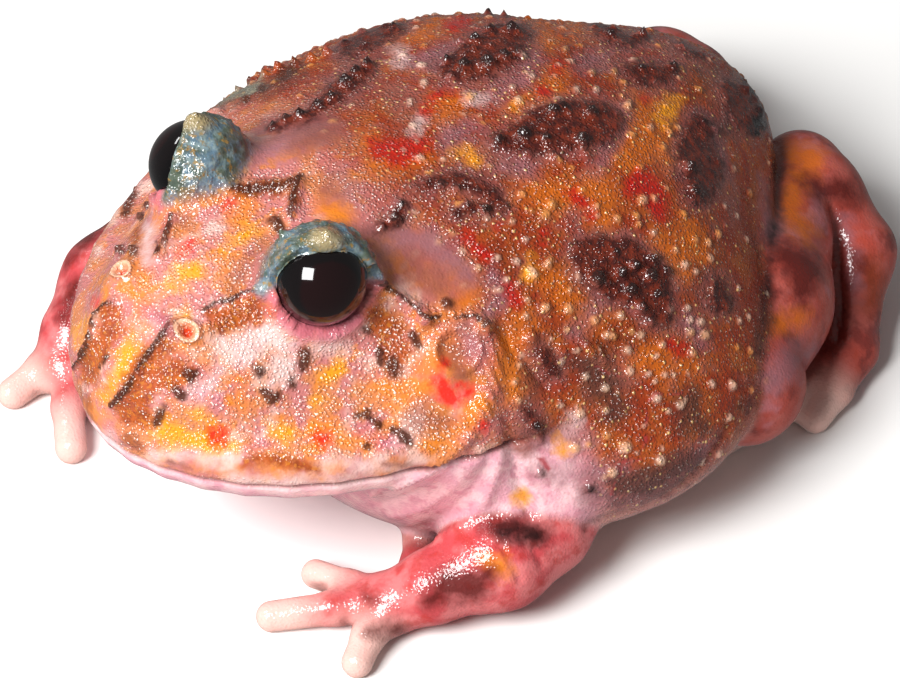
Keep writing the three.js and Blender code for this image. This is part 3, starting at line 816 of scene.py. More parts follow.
        [(662, 345, 4)], [(687, 308, 4)], [(668, 310, 5)], [(550, 260, 4)], [(527, 300, 4)],
    ],
    # These chains are painted shade in the gaps between flank, leg and arm.
    "gap_shade": [
        [(773, 142, 3), (776, 180, 4), (776, 220, 5), (768, 270, 5), (764, 320, 5), (760, 352, 4)],
        [(738, 405, 4), (748, 405, 5)], [(518, 526, 6), (535, 536, 8), (500, 532, 6)],
    ],
    "moss": [
        [(206, 104, 7), (222, 97, 8), (240, 91, 8), (258, 84, 6)],
    ],
    # The first chain is a grey skin patch on the brow; the others are painted shade low on the flank and by
    # the leg.
    "grey_and_flank_shade": [
        [(204, 102, 8), (240, 92, 11), (270, 86, 8), (300, 70, 7)],
        [(580, 365, 12), (600, 385, 18), (618, 402, 15), (612, 415, 11)],
        [(690, 400, 12), (685, 420, 14), (705, 430, 10)], [(620, 488, 14), (660, 478, 16), (690, 460, 12)],
        [(725, 130, 8), (735, 85, 6), (700, 70, 5)],
    ],
    "bands_and_crease_shade": [
        [(490, 524, 9), (515, 528, 12), (540, 534, 10)],
        [(430, 600, 10), (452, 584, 17), (474, 586, 16), (490, 572, 8)],
        [(368, 632, 5), (384, 628, 7), (398, 630, 5)], [(76, 284, 8), (68, 306, 9), (64, 318, 7)],
        [(806, 180, 7), (822, 190, 13), (841, 190, 13), (854, 198, 9)],
        [(788, 255, 13), (805, 272, 20), (800, 293, 12)], [(853, 256, 4), (860, 266, 4)],
        [(365, 596, 4), (376, 602, 4)],
        # This chain is painted shade along the crease between shank and foot; the others are the limbs' own
        # bands.
        [(836, 225, 1), (841, 265, 2), (842, 300, 2), (838, 330, 2), (830, 355, 3)],
    ],
    "vein": [
        [(705, 375, 1), (690, 388, 1), (672, 395, 1), (655, 393, 1), (648, 402, 1), (645, 445, 1),
         (640, 460, 1), (622, 461, 1), (620, 475, 1), (608, 500, 1)],
        [(592, 365, 1), (605, 372, 1), (622, 378, 1)], [(538, 455, 2), (548, 468, 3)],
    ],
    "smooth": [
        [(376, 242, 20), (412, 262, 34), (455, 285, 24)], [(436, 372, 24), (458, 396, 22)],
        [(225, 150, 24), (280, 145, 22), (330, 130, 14)], [(150, 225, 9), (147, 258, 9)],
        [(322, 330, 12), (296, 328, 8), (352, 322, 10)], [(330, 205, 18), (350, 225, 14)],
        [(150, 462, 8), (230, 466, 11), (320, 472, 12), (430, 466, 11)], [(104, 440, 16), (85, 410, 9)],
    ],
}
SHAPE_ONLY = ("pearl", "smooth")
print("kinds of marks:", len(MARKS), " rows:", sum(len(rows) for rows in MARKS.values()))

# %% [markdown]
# ## From the picture to the skin
#
# A disc is known by its pixel, but a point of the skin is known by its place.  So each chain is kept both
# ways: as it looks in the picture, and as it lies on the skin.  If the mirrored chain couldn't be seen from
# the camera, the hidden side gets it too.  Chains near the middle line have no twin, nor do the veins.

# %% Discs set down on the skin
SEEN_SIDE_ONLY = ("vein",)
TWIN_FROM_X = 13
SAME_PLACE = 2
REACH_SHARE = 2.2
REACH_MORE = 1.0
OUT_OF_REACH = 30.0
MIRROR = np.array([-1, 1, 1])


def is_hidden(places):
    """True if none of the places on the skin can be seen from the camera."""
    nearest = seen_at(on_photo(places))
    return all(np.linalg.norm(seen - place) > SAME_PLACE for seen, place in zip(nearest, places))


def placed_marks(kind):
    """Stretches between two discs: as seen, on the skin, and whether the stretch has a hidden twin."""
    rows = []
    for discs in MARKS[kind]:
        discs = discs * 2 if len(discs) == 1 else discs
        centres = seen_at([disc[:2] for disc in discs])
        one_sided = kind in SEEN_SIDE_ONLY or centres[:, 0].min() <= TWIN_FROM_X
        twin = not one_sided and is_hidden(centres * MIRROR)
        rows += [(*stretch, twin) for stretch in zip(discs, discs[1:], centres, centres[1:])]
    return rows


marks = {kind: placed_marks(kind) for kind in MARKS}


def to_marks(kind, p):
    """Distance in mm from points to the marks of a kind, negative inside.

    The outline is drawn as it is seen, so that a mark on slanting skin isn't too narrow, and the distance
    over the skin keeps it from going through to the far side of the frog."""
    d = np.full(len(p), OUT_OF_REACH)
    for q, twins_only in ((p, False), (p * MIRROR, True)):
        seen = np.column_stack([on_photo(q), np.zeros(len(q))])
        for (ax, ay, ar), (bx, by, br), a, b, twin in marks[kind]:
            if twins_only and not twin:
                continue
            as_seen = bone([ax, ay, 0], [bx, by, 0], ar, br)(seen) * PX_WIDE
            over_skin = bone(a, b, 0, 0)(q) - REACH_SHARE * max(ar, br) * PX_WIDE - REACH_MORE
            d = np.minimum(d, np.maximum(as_seen, over_skin))
    return d


print("marks placed:", {kind: len(rows) for kind, rows in marks.items()})

# %% [markdown]
# ## Relief
#
# The skin is never smooth: cone warts crowd on the dark blotches, round pale pustules stand on the flanks,
# knobs line the ridges and folds run back from the mouth.  Sculpting thousands of them isn't practical.
# A cellular noise drops one seed point in every little cube of space, and a wart rises where the skin
# passes close to a seed, so that sizes and gaps vary as they do in nature.

# %% Seeds in little cubes
def scatter(p, size, seed):
    """Distance to the nearest seed in mm, and that seed's own random number from 0 to 1."""
    cell = np.floor(p / size).astype(np.int64)
    nearest = np.full(len(p), 1e9)
    chance = np.zeros(len(p))
    for corner in np.ndindex(3, 3, 3):
        here = cell + np.array(corner) - 1
        mixed = (here * np.array([73856093, 19349663, 83492791])).sum(1) + seed * 2654435761
        rolls = []
        for turn in range(4):
            mixed = (mixed ^ (mixed >> 13)) * 1274126177 % 4294967296
            rolls.append(mixed / 4294967296)
        centre = (here + 0.15 + 0.7 * np.column_stack(rolls[:3])) * size
        d = np.linalg.norm(p - centre, axis=1)
        closer = d < nearest
        nearest[closer], chance[closer] = d[closer], rolls[3][closer]
    return nearest, chance


def ramp(low, high, value):
    """0 below low, 1 above high, and a smooth step between; low may be the greater one."""
    t = np.clip((value - low) / (high - low), 0, 1)
    return t * t * (3 - 2 * t)


def dome(distance, radius):
    return np.sqrt(np.clip(1 - (distance / radius) ** 2, 0, 1))


def cone(distance, radius):
    return np.clip(1 - distance / radius, 0, 1)


print("nearest of three seeds:", scatter(base[:3], 3.4, 1)[0].round(2))

# %% [markdown]
# ## Ridges, knobs and creases that have their own place
#
# Some forms are not random: the knobby crest on the brow, the ridge behind the eye, the ring of the ear,
# the folds of the throat.  They are drawn as lines and points on the photograph, like the marks.

# %% Named ridges and knobs
# Each ridge is a height and a half width in mm, and then pixels; a negative height is a crease.
RIDGES = [
    (0.9, 0.7, [(372, 275), (388, 291), (402, 299), (418, 310), (425, 320)]),
    (0.6, 0.7, [(425, 320), (445, 317), (475, 316), (483, 328)]),
    (0.7, 0.6, [(172, 325), (158, 345), (147, 357), (133, 382), (114, 404)]),
    (0.7, 0.6, [(114, 303), (98, 316), (92, 342), (85, 355), (78, 368)]),
    (0.5, 0.6, [(203, 312), (215, 304), (243, 294), (262, 290)]),
    (0.8, 0.6, [(175, 213), (171, 232), (166, 246), (158, 258)]),
    (0.7, 0.9, [(228, 187), (250, 188), (290, 186)]),
    (0.8, 0.8, [(300, 183), (294, 200), (292, 215)]),
    (0.7, 1.2, [(484, 326), (492, 350), (492, 385), (482, 412)]),
    (0.5, 0.8, [(470, 436), (440, 462), (400, 484), (372, 492)]),
    (-0.2, 0.6, [(476, 444), (446, 474), (408, 496), (380, 504)]),
    (0.25, 0.8, [(482, 450), (456, 484), (422, 508), (392, 516)]),
    (-0.2, 0.6, [(490, 456), (468, 494), (438, 520), (410, 530)]),
    (0.4, 0.8, [(500, 462), (486, 500), (462, 526), (440, 538)]),
    (-0.6, 0.9, [(508, 420), (512, 455), (520, 490), (530, 512)]),
    (-0.5, 0.8, [(500, 330), (522, 360), (548, 385)]),
    (-0.5, 0.8, [(588, 528), (640, 510), (700, 470), (728, 430)]),
    (-0.5, 0.7, [(833, 210), (838, 260), (842, 300), (838, 335)]),
    (-0.3, 0.5, [(500, 545), (512, 560), (520, 580)]),
    (-0.3, 0.5, [(520, 540), (534, 552), (542, 566)]),
    (0.5, 1.0, [(262, 288), (240, 312), (205, 330)]),
    (0.6, 0.7, [(562, 350), (585, 345), (602, 360)]),
]
# Each knob is a pixel, a radius in pixels and a height in mm.
KNOBS = [
    (274, 128, 5, 0.8), (287, 122, 6, 1.0), (302, 118, 6, 1.0), (318, 108, 6, 1.1), (332, 100, 6, 1.0),
    (346, 85, 8, 1.3), (356, 76, 7, 1.2), (368, 68, 6, 1.3), (276, 224, 7, 1.0), (284, 236, 5, 0.9),
    (148, 206, 5, 0.7), (141, 217, 5, 0.7), (120, 250, 6, 0.8), (133, 250, 6, 0.8), (137, 190, 4, 0.7),
    (131, 202, 4, 0.7), (124, 216, 4, 0.7), (258, 370, 6, 0.5), (305, 356, 6, 0.5), (271, 396, 8, 0.6),
    (292, 384, 4, 0.4), (447, 304, 6, 0.9), (482, 328, 5, 0.9), (424, 322, 5, 0.9), (398, 296, 4, 0.7),
    (413, 336, 5, 0.7), (366, 331, 4, 0.6), (379, 354, 5, 0.6), (272, 312, 4, 0.5), (530, 338, 8, 0.8),
    (588, 355, 12, 0.8), (536, 425, 7, 0.8), (540, 440, 4, 0.6), (590, 487, 6, 0.5), (540, 472, 5, 0.5),
    (523, 137, 9, 1.4), (497, 143, 6, 1.1), (546, 140, 6, 0.9), (552, 112, 8, 1.1), (590, 114, 8, 1.2),
    (581, 141, 8, 1.3), (562, 108, 6, 0.8), (527, 155, 6, 0.8), (553, 157, 6, 0.8), (585, 155, 6, 0.7),
    (512, 33, 9, 1.3), (490, 32, 6, 1.0), (475, 42, 7, 1.1), (460, 42, 5, 0.8), (446, 63, 5, 1.0),
    (464, 68, 8, 1.3), (486, 66, 9, 1.4), (504, 58, 7, 1.1), (518, 56, 6, 0.9), (450, 78, 5, 0.8),
    (596, 279, 10, 1.0), (620, 274, 6, 0.9), (630, 290, 8, 0.9), (649, 275, 8, 1.0), (652, 258, 6, 0.9),
    (634, 266, 6, 0.9), (666, 270, 6, 0.8), (640, 308, 7, 1.0), (648, 322, 6, 0.8), (655, 294, 5, 0.6),
    (615, 252, 4, 0.5), (687, 168, 7, 0.9), (693, 192, 7, 0.9), (703, 124, 5, 0.7), (714, 131, 5, 0.7),
    (610, 37, 6, 0.9), (642, 36, 6, 1.0), (640, 70, 5, 0.7), (672, 68, 6, 0.8), (362, 34, 5, 0.8),
    (394, 30, 5, 0.9), (345, 45, 5, 0.6), (488, 13, 4, 0.8), (504, 16, 3, 0.7), (529, 9, 3, 0.6),
    (400, 205, 6, 0.9), (392, 220, 6, 0.9), (381, 229, 4, 0.7), (455, 190, 6, 0.7), (466, 205, 5, 0.8),
    (485, 210, 6, 0.9), (440, 186, 5, 0.7), (366, 414, 4, 0.6), (377, 425, 4, 0.6), (366, 446, 4, 0.6),
    (206, 103, 5, 0.9), (222, 96, 6, 1.0), (238, 89, 6, 1.3), (252, 83, 6, 1.4), (266, 77, 6, 1.2),
    (280, 71, 7, 1.5), (296, 66, 6, 1.3), (312, 60, 6, 1.2), (328, 55, 6, 1.3),
    (402, 436, 5, 0.5), (189, 374, 5, 0.4), (180, 393, 6, 0.4), (159, 416, 5, 0.4), (290, 222, 3, 0.9),
]

ridge_lines = [(height, wide, seen_at(pixels)) for height, wide, pixels in RIDGES]
ridge_twins = [is_hidden(line * MIRROR) for _, _, line in ridge_lines]
knob_places = seen_at([knob[:2] for knob in KNOBS])
knob_twins = [is_hidden([place * MIRROR]) for place in knob_places]
EAR_PIXEL, EAR_R = (457, 350), 2.3
ear_place = seen_at([EAR_PIXEL])[0]
NOSTRIL_PIXEL, NOSTRIL_SHAPE = (187, 331), [1.3, 1.0, 1.0]
nostril_place = seen_at([NOSTRIL_PIXEL])[0]


def ridges_and_knobs(p):
    """Height in mm of the named ridges, knobs and creases and of their twins on the hidden side, and how
    far the nearest knob is, counted in its own radius."""
    here = on_left(p)
    h = np.zeros(len(p))
    nearest = np.full(len(p), 9.0)
    for (height, wide, line), twin in zip(ridge_lines, ridge_twins):
        q = here if twin and line[:, 0].min() > 0 else p
        d = np.min([bone(a, b, 0, 0)(q) for a, b in zip(line, line[1:])], axis=0)
        ragged = 0.7 + 0.6 * np.sin(q @ [3.1, 2.3, 2.7]) ** 2
        h += height * ragged * np.exp(-((d / wide) ** 2))
    for (_, _, radius, height), place, twin in zip(KNOBS, knob_places, knob_twins):
        q = here if twin and place[0] > 4 else p
        d = np.linalg.norm(q - place, axis=1) / (radius * PX_WIDE)
        h += height * cone(d, 1.4) ** 1.2
        nearest = np.minimum(nearest, d)
    return h, nearest


print("ridges:", len(ridge_lines), " knobs:", len(knob_places))

# %% [markdown]
# ## Where the relief goes
#
# Each kind of relief has its own place: warts on the blotches, bumps on the upper side, none on the limbs.
# So the skin's points first get masks, numbers from 0 to 1.  The mouth is a groove along the lips, the ear
# a shallow disc in a ring and the nostril a pit with a rim, so their distances are needed too.

# %% Where each kind of relief belongs
def mouth_gap(p):
    """Height above the mouth's plane, and 1 along the lips but 0 behind the corners."""
    plane = MOUTH_Z - 0.17 + MOUTH_RISE * (p[:, 1] - SNOUT_Y) / (MOUTH_CORNER_Y - SNOUT_Y)
    return p[:, 2] - plane, ramp(MOUTH_CORNER_Y + 3.5, MOUTH_CORNER_Y + 0.5, p[:, 1])


lips_d, lips_on = mouth_gap(base)
on_limb = ramp(-0.6, 0.9, body_form(base) - limb_form(base))
on_lid = ramp(1.1, 0.1, pair(lid_form)(base)) * ramp(38.0, 39.4, base[:, 2])
on_top = ramp(4, 15, base[:, 2]) * (1 - on_limb) * (1 - on_lid)
on_throat = ramp(-0.3, 0.6, -lips_d) * ramp(-4, -9, base[:, 1]) * (1 - on_limb)
rough_skin = on_top * (1 - 0.85 * on_throat)
on_dark = ramp(0.3, -0.5, to_marks("dark", base))
on_brown = ramp(0.2, -0.5, np.minimum(to_marks("brown", base), to_marks("spot", base)))

here = on_left(base)
ear_d = np.linalg.norm(here - ear_place, axis=1)
nostril_d = length((here - nostril_place) / NOSTRIL_SHAPE)
behind_head = ramp(-16, -4, base[:, 1])
print("on limbs:", round(float(on_limb.mean()), 2), " on the throat:", round(float(on_throat.mean()), 2))

# %% [markdown]
# ## Warts, pustules and small bumps
#
# Warts are sharp cones that crowd on the dark blotches.  Pustules are round domes, each of its own size, and
# keep to the back and flanks.  Small bumps fill the space between.  The ear, the throat and the blotches
# have none of the round ones.

# %% Heights of the scattered bumps
WART_GAP, PUSTULE_GAP, SMALL_GAP = 1.75, 2.4, 1.5
wart_d, wart_chance = scatter(base, WART_GAP, seed=11)
pustule_d, pustule_chance = scatter(base, PUSTULE_GAP, seed=5)
small_d, small_chance = scatter(base, SMALL_GAP, seed=23)
pustule_r = 0.3 + 0.35 * pustule_chance
warts = (0.2 + 0.4 * wart_chance) * cone(wart_d, 0.75)
pustules = (0.18 + 0.25 * pustule_chance) * dome(pustule_d, pustule_r)
smalls = 0.13 * dome(small_d, 0.3 + 0.3 * small_chance)
pearl_d = to_marks("pearl", base)
named_pearls = 0.4 * np.sqrt(ramp(0.15, -0.6, pearl_d))
smooth_spot = np.maximum.reduce([on_dark, ramp(1.5, 0.0, ear_d - EAR_R), on_throat])
print("tallest wart:", warts.max().round(2), "mm, tallest pustule:", pustules.max().round(2), "mm")

# %% [markdown]
# ## Adding up
#
# Every part of the relief is a height in mm times how much it counts at that place.  Near the floor and
# next to the eyeballs the relief fades out, so that the frog sits flat and no wart pokes into an eye.

# %% Raise the skin
relief, knob_d = ridges_and_knobs(base)
relief += warts * np.maximum(on_dark, 0.3 * on_brown) * (1 - on_limb)
relief += named_pearls * (1 - on_limb)
relief += pustules * rough_skin * (1 - smooth_spot) * behind_head
relief += smalls * rough_skin * (1 - smooth_spot) * (0.3 + 0.7 * behind_head)
relief += 0.25 * on_dark * (1 - on_limb)
relief -= 0.75 * lips_on * np.exp(-((lips_d / 0.32) ** 2)) * (1 - on_limb)
relief += 0.55 * np.exp(-(((ear_d - EAR_R) / 0.5) ** 2)) - 0.3 * ramp(EAR_R, EAR_R - 1, ear_d)
relief += 0.4 * np.exp(-(((nostril_d - 1.05) / 0.3) ** 2)) - 0.9 * ramp(0.85, 0.3, nostril_d)
lid_wrinkle = np.sin(base[:, 2] * 4.2 + np.sin(base[:, 1] * 1.7) * 1.3)
clear_of_tip = ramp(1, 3, length(here - HORN_TIP))
relief += on_lid * clear_of_tip * (0.06 * lid_wrinkle + 0.26 * dome(small_d, 0.5))
flank_folds = ramp(12, 6, base[:, 2]) * ramp(-14, -2, base[:, 1]) * (1 - on_limb)
relief += 0.16 * flank_folds * np.sin(base[:, 2] * 3.1 + 1.2 * np.sin(base[:, 1] * 0.6))
cut_off = ramp(0.2, 2.5, base[:, 2])
clear_of_eye = ramp(0.1, 0.9, pair(eyeball)(base))
relief *= cut_off * clear_of_eye

raised = base + relief[:, None] * base_normal
raised[:, 2] = np.maximum(raised[:, 2], 0)
set_points(skin.data, raised)
print("relief from", relief.min().round(2), "to", relief.max().round(2), "mm")

# %% [markdown]
# ## Thin the net where the skin is plain
#
# The net is now finer than it needs to be on the belly and the throat.  Decimation merges the edges that
# matter least and keeps the warts, and the piece stays light enough to export at full detail.

# %% Thin the net
MOST_TRIANGLES = 194000
triangles = sum(len(face.vertices) - 2 for face in skin.data.polygons)
if triangles > MOST_TRIANGLES:
    apply_modifier(skin, "DECIMATE", ratio=MOST_TRIANGLES / triangles)
deselect()
skin.select_set(True)
bpy.ops.object.shade_smooth()
print("skin:", triangles, "triangles thinned to", sum(len(f.vertices) - 2 for f in skin.data.polygons))

# %% [markdown]
# ## Keep each field as an attribute
#
# The materials need to know where a point lies on the frog: how far from a dark blotch, on a limb or on a
# lid.  Each such field is stored on the skin's points.  A field changes slowly over the surface, so the
# shader can cut a crisp, ragged edge out of it that is much finer than the net.

# %% Fields on the skin's points
tree = KDTree(len(raised))
for i, point in enumerate(raised):
    tree.insert(point, i)
tree.balance()
final = points_of(skin.data)
source = np.array([tree.find(point)[1] for point in final])
at = base[source]
normal = base_normal[source]


def store(name, values):
    field = skin.data.attributes.new(name, "FLOAT", "POINT")
    field.data.foreach_set("value", values.astype(np.float32))


for kind in MARKS:
    if kind not in SHAPE_ONLY:
        store(kind, to_marks(kind, at))

DIGIT_TIPS = np.array(
    [digit[-1][:3] for digits in FINGERS.values() for digit in digits]
    + [[side * toe[-1][0], *toe[-1][1:3]] for toe in TOES for side in (1, -1)]
)
tip_d = np.min([np.linalg.norm(at - tip_glint, axis=1) for tip_glint in DIGIT_TIPS], axis=0)
# Little open air in front of the skin marks a crease; the finish paints creases dark as shade.
open_air = np.clip(frog_form(at + 2.0 * normal) / 2.0, 0, 1)
tip_of_pustule = dome(pustule_d, pustule_r)[source] * (rough_skin * (1 - smooth_spot) * behind_head)[source]
tip_of_pustule = np.maximum(tip_of_pustule, ramp(0.1, -0.4, pearl_d)[source])
horn_d = np.linalg.norm(on_left(at) - HORN_TIP, axis=1)

store("limb", on_limb[source])
store("lid", on_lid[source])
store("throat", on_throat[source])
store("height", at[:, 2])
store("along", at[:, 1])
store("mouth", np.where(lips_on[source] > 0.5, np.abs(lips_d[source]), 9.0))
store("digit_tip", tip_d)
store("open_air", open_air)
store("pustule", tip_of_pustule)
store("knob", knob_d[source])
store("horn", horn_d)
store("nostril", nostril_d[source])
store("eye_skin", pair(eyeball)(at) + 0.6 * ramp(38, 41, at[:, 2]))
grainy = ramp(-0.4, 0.6, to_marks("smooth", at)) * (1 - on_limb[source]) * (1 - on_throat[source])
store("grainy", grainy * ramp(0.3, 1.8, pair(eyeball)(at)))
store("pearls", (rough_skin * (1 - smooth_spot) * behind_head)[source] * grainy)
print("fields:", len([a for a in skin.data.attributes if a.data_type == "FLOAT"]))

# %% [markdown]
# ## Small tools for materials
#
# Node trees grow long when every node takes four lines.  These helpers add a node, set what is given by
# name and connect what is another node's output.

# %% Node helpers
def paint(code):
    """A colour as the eye names it, such as c8803c, turned into the linear numbers that shaders use."""
    parts = [int(code[i : i + 2], 16) / 255 for i in (0, 2, 4)]
    linear = [c / 12.92 if c <= 0.04045 else ((c + 0.055) / 1.055) ** 2.4 for c in parts]
    return (*linear, 1.0)


def put(socket, value, tree):
    if isinstance(value, bpy.types.NodeSocket):
        tree.links.new(value, socket)
    else:
        socket.default_value = value


def node(tree, kind, inputs=None, **settings):
    made = tree.nodes.new(kind)
    for name, value in settings.items():
        setattr(made, name, value)
    for name, value in (inputs or {}).items():
        put(made.inputs[name], value, tree)
    return made


def maths(tree, operation, a, b=0.0, clamp=False):
    return node(tree, "ShaderNodeMath", {0: a, 1: b}, operation=operation, use_clamp=clamp).outputs[0]


def step(tree, value, low, high):
    """0 to 1 as the value goes from low to high."""
    inputs = {"Value": value, "From Min": low, "From Max": high}
    return node(tree, "ShaderNodeMapRange", inputs, interpolation_type="SMOOTHSTEP").outputs["Result"]


def over(tree, under, top, share):
    """The top colour laid over the one under it where share is 1."""
    mix = node(tree, "ShaderNodeMix", data_type="RGBA", clamp_factor=True)
    put(mix.inputs["Factor"], share, tree)
    put(mix.inputs[6], under, tree)
    put(mix.inputs[7], top, tree)
    return mix.outputs[2]


def field(tree, name):
    return node(tree, "ShaderNodeAttribute", attribute_name=name).outputs["Fac"]


print("amber in linear numbers:", [round(c, 3) for c in paint("c8803c")])

# %% [markdown]
# ## Shared effects as node groups
#
# An effect that returns many times is built once, as a group with named inputs and outputs.  The first one
# cuts a ragged edge out of a distance field: noise shifts the distance before it is compared with zero.

# %% Group: ragged edge
def new_group(name, inputs, outputs):
    group = bpy.data.node_groups.new(name, "ShaderNodeTree")
    for socket, default in inputs.items():
        made = group.interface.new_socket(socket, in_out="INPUT", socket_type="NodeSocketFloat")
        made.default_value = default
    for socket in outputs:
        group.interface.new_socket(socket, in_out="OUTPUT", socket_type="NodeSocketFloat")
    return group, group.nodes.new("NodeGroupInput").outputs, group.nodes.new("NodeGroupOutput").inputs


edge_inputs = {"Distance": 0, "Wobble": 0.5, "Softness": 0.3, "Scale": 900}
ragged_edge, given, result = new_group("ragged_edge", edge_inputs, ["Mask"])
place = node(ragged_edge, "ShaderNodeTexCoord").outputs["Object"]
noise_inputs = {"Vector": place, "Scale": given["Scale"], "Detail": 3.0, "Roughness": 0.6}
noise = node(ragged_edge, "ShaderNodeTexNoise", noise_inputs)
centred = maths(ragged_edge, "SUBTRACT", noise.outputs["Fac"], 0.5)
wobble = maths(ragged_edge, "MULTIPLY", centred, given["Wobble"])
moved = maths(ragged_edge, "ADD", given["Distance"], maths(ragged_edge, "MULTIPLY", wobble, 4.0))
share = maths(ragged_edge, "DIVIDE", moved, given["Softness"])
put(result["Mask"], maths(ragged_edge, "SUBTRACT", 0.5, share, clamp=True), ragged_edge)
print("group:", ragged_edge.name)

# %% [markdown]
# ## The grain of the skin
#
# Frog skin is a field of round granules with narrow valleys, each one a tiny wet lens.  A cell texture
# gives one granule to each cell, a little noise pulls them out of line, and some tips are paler than others,
# partly as the skin's own pale granules and partly as painted highlights.

# %% Group: granules
granules, given, result = new_group("granules", {"Scale": 2700}, ["Height", "Tip_glint"])
place = node(granules, "ShaderNodeTexCoord").outputs["Object"]
swirl = node(granules, "ShaderNodeTexNoise", {"Vector": place, "Scale": 1500.0, "Detail": 1.0})
pull = node(granules, "ShaderNodeVectorMath", {0: swirl.outputs["Color"], "Scale": 0.0004}, operation="SCALE")
pulled = node(granules, "ShaderNodeVectorMath", {0: place, 1: pull.outputs[0]}, operation="ADD").outputs[0]
cells = node(granules, "ShaderNodeTexVoronoi", {"Vector": pulled, "Scale": given["Scale"], "Randomness": 0.9})
dice = node(granules, "ShaderNodeSeparateColor", {"Color": cells.outputs["Color"]})
put(result["Height"], step(granules, cells.outputs["Distance"], 0.7, 0.05), granules)
# The pale tips are partly pale skin and partly painted highlights.
tip_glint = step(granules, cells.outputs["Distance"], 0.36, 0.14)
put(result["Tip_glint"], maths(granules, "MULTIPLY", tip_glint, step(granules, dice.outputs["Red"], 0.25, 0.8)), granules)
print("group:", granules.name)

# %% [markdown]
# ## Pearls among the grain
#
# Between the big pustules stand many small ones, like beads of dew.  They are too many to model, so they
# are cells again, but larger ones, each with its own random size.

# %% Group: pearls
pearls, given, result = new_group("pearls", {"Scale": 1300, "Size": 0.3}, ["Height", "Mask"])
place = node(pearls, "ShaderNodeTexCoord").outputs["Object"]
cells = node(pearls, "ShaderNodeTexVoronoi", {"Vector": place, "Scale": given["Scale"], "Randomness": 0.9})
dice = node(pearls, "ShaderNodeSeparateColor", {"Color": cells.outputs["Color"]}).outputs["Red"]
reach = maths(pearls, "MULTIPLY", given["Size"], maths(pearls, "ADD", 0.3, dice))
inside = maths(pearls, "DIVIDE", cells.outputs["Distance"], reach)
put(result["Height"], step(pearls, inside, 1.0, 0.1), pearls)
put(result["Mask"], maths(pearls, "MULTIPLY", step(pearls, inside, 0.9, 0.3), dice), pearls)
print("group:", pearls.name)

# %% [markdown]
# ## The skin's finish
#
# The colours lie in layers, mostly as in the animal: pale sides below, red-brown above, lilac and orange
# clouds, then yellow and red pigment, then the blotches, and last the pale tips of the granules, which are
# partly pale skin and partly painted highlights.  First come the four grounds that the rest is laid on:
# back, head, limbs and throat.

# %% Skin colours
skin_finish = bpy.data.materials.new("frog_skin")
skin_finish.use_nodes = True
t = skin_finish.node_tree
t.nodes.clear()
place = node(t, "ShaderNodeTexCoord").outputs["Object"]


def cloud(scale, low, high):
    """Soft patches: 0 where the noise is under low, 1 where it is over high."""
    inputs = {"Vector": place, "Scale": scale, "Detail": 3.0, "Roughness": 0.6}
    return step(t, node(t, "ShaderNodeTexNoise", inputs).outputs["Fac"], low, high)


def edge(distance, wobble, softness, scale=900.0):
    """1 inside a mark and 0 outside, with a ragged edge as wide as softness says, in mm."""
    group = node(t, "ShaderNodeGroup", node_tree=ragged_edge)
    for name, value in {"Distance": distance, "Wobble": wobble, "Softness": softness, "Scale": scale}.items():
        put(group.inputs[name], value, t)
    return group.outputs["Mask"]


def times(a, b):
    return maths(t, "MULTIPLY", a, b)


def less(a):
    return maths(t, "SUBTRACT", 1.0, a)


def by(name, low, high):
    """0 to 1 as one of the skin's own fields goes from low to high."""
    return step(t, field(t, name), low, high)


def wash(under, code, share):
    """A thin wash of one pigment over the colour under it."""
    return over(t, under, paint(code), share)


grains = node(t, "ShaderNodeGroup", {"Scale": 2700.0}, node_tree=granules)
beads = node(t, "ShaderNodeGroup", {"Scale": 1300.0, "Size": 0.3}, node_tree=pearls)


def clouded(under, kind, code, share, wobble=0.9, softness=1.8, scale=500.0):
    """A cloud of pigment over the colour under it, where the marks of a kind are."""
    top = paint(code) if isinstance(code, str) else code
    return over(t, under, top, times(edge(field(t, kind), wobble, softness, scale), share))


head = by("along", -6.0, -20.0)
colour = over(t, paint("903010"), paint("a44e18"), cloud(260.0, 0.38, 0.68))
colour = wash(colour, "945850", times(cloud(150.0, 0.5, 0.64), 0.6))
colour = wash(colour, "8c280c", times(cloud(330.0, 0.5, 0.66), 0.6))
head_colour = over(t, paint("cc7c50"), paint("c07470"), cloud(230.0, 0.38, 0.58))
head_colour = wash(head_colour, "d87c20", times(cloud(300.0, 0.53, 0.64), 0.7))
head_colour = wash(head_colour, "e4bcb0", times(cloud(190.0, 0.52, 0.66), 0.75))
colour = over(t, colour, head_colour, head)
low_down = by("height", 18.0, 8.0)
colour = wash(colour, "a0583c", times(low_down, times(less(head), 0.8)))
colour = wash(colour, "c48c84", times(by("height", 15.0, 7.0), less(head)))

limb_colour = over(t, paint("bc464a"), paint("d07070"), cloud(220.0, 0.4, 0.62))
limb_colour = wash(limb_colour, "b02c24", times(cloud(420.0, 0.5, 0.68), 0.6))
leg = by("along", 6.0, 14.0)
limb_colour = wash(limb_colour, "9c4430", times(leg, 0.7))
limb_colour = wash(limb_colour, "b07078", times(cloud(170.0, 0.55, 0.68), times(leg, 0.6)))
limb_colour = wash(limb_colour, "5c2020", times(cloud(280.0, 0.5, 0.68), times(leg, 0.6)))
limb_colour = wash(limb_colour, "ecc4b8", times(by("digit_tip", 8.0, 2.0), 0.85))
colour = over(t, colour, limb_colour, field(t, "limb"))

throat_colour = over(t, paint("e0a0ac"), paint("ecbcc0"), cloud(300.0, 0.4, 0.6))
throat_colour = wash(throat_colour, "c8788a", times(cloud(520.0, 0.52, 0.66), 0.5))
colour = over(t, colour, throat_colour, field(t, "throat"))
print("body, head, limbs and throat are painted")

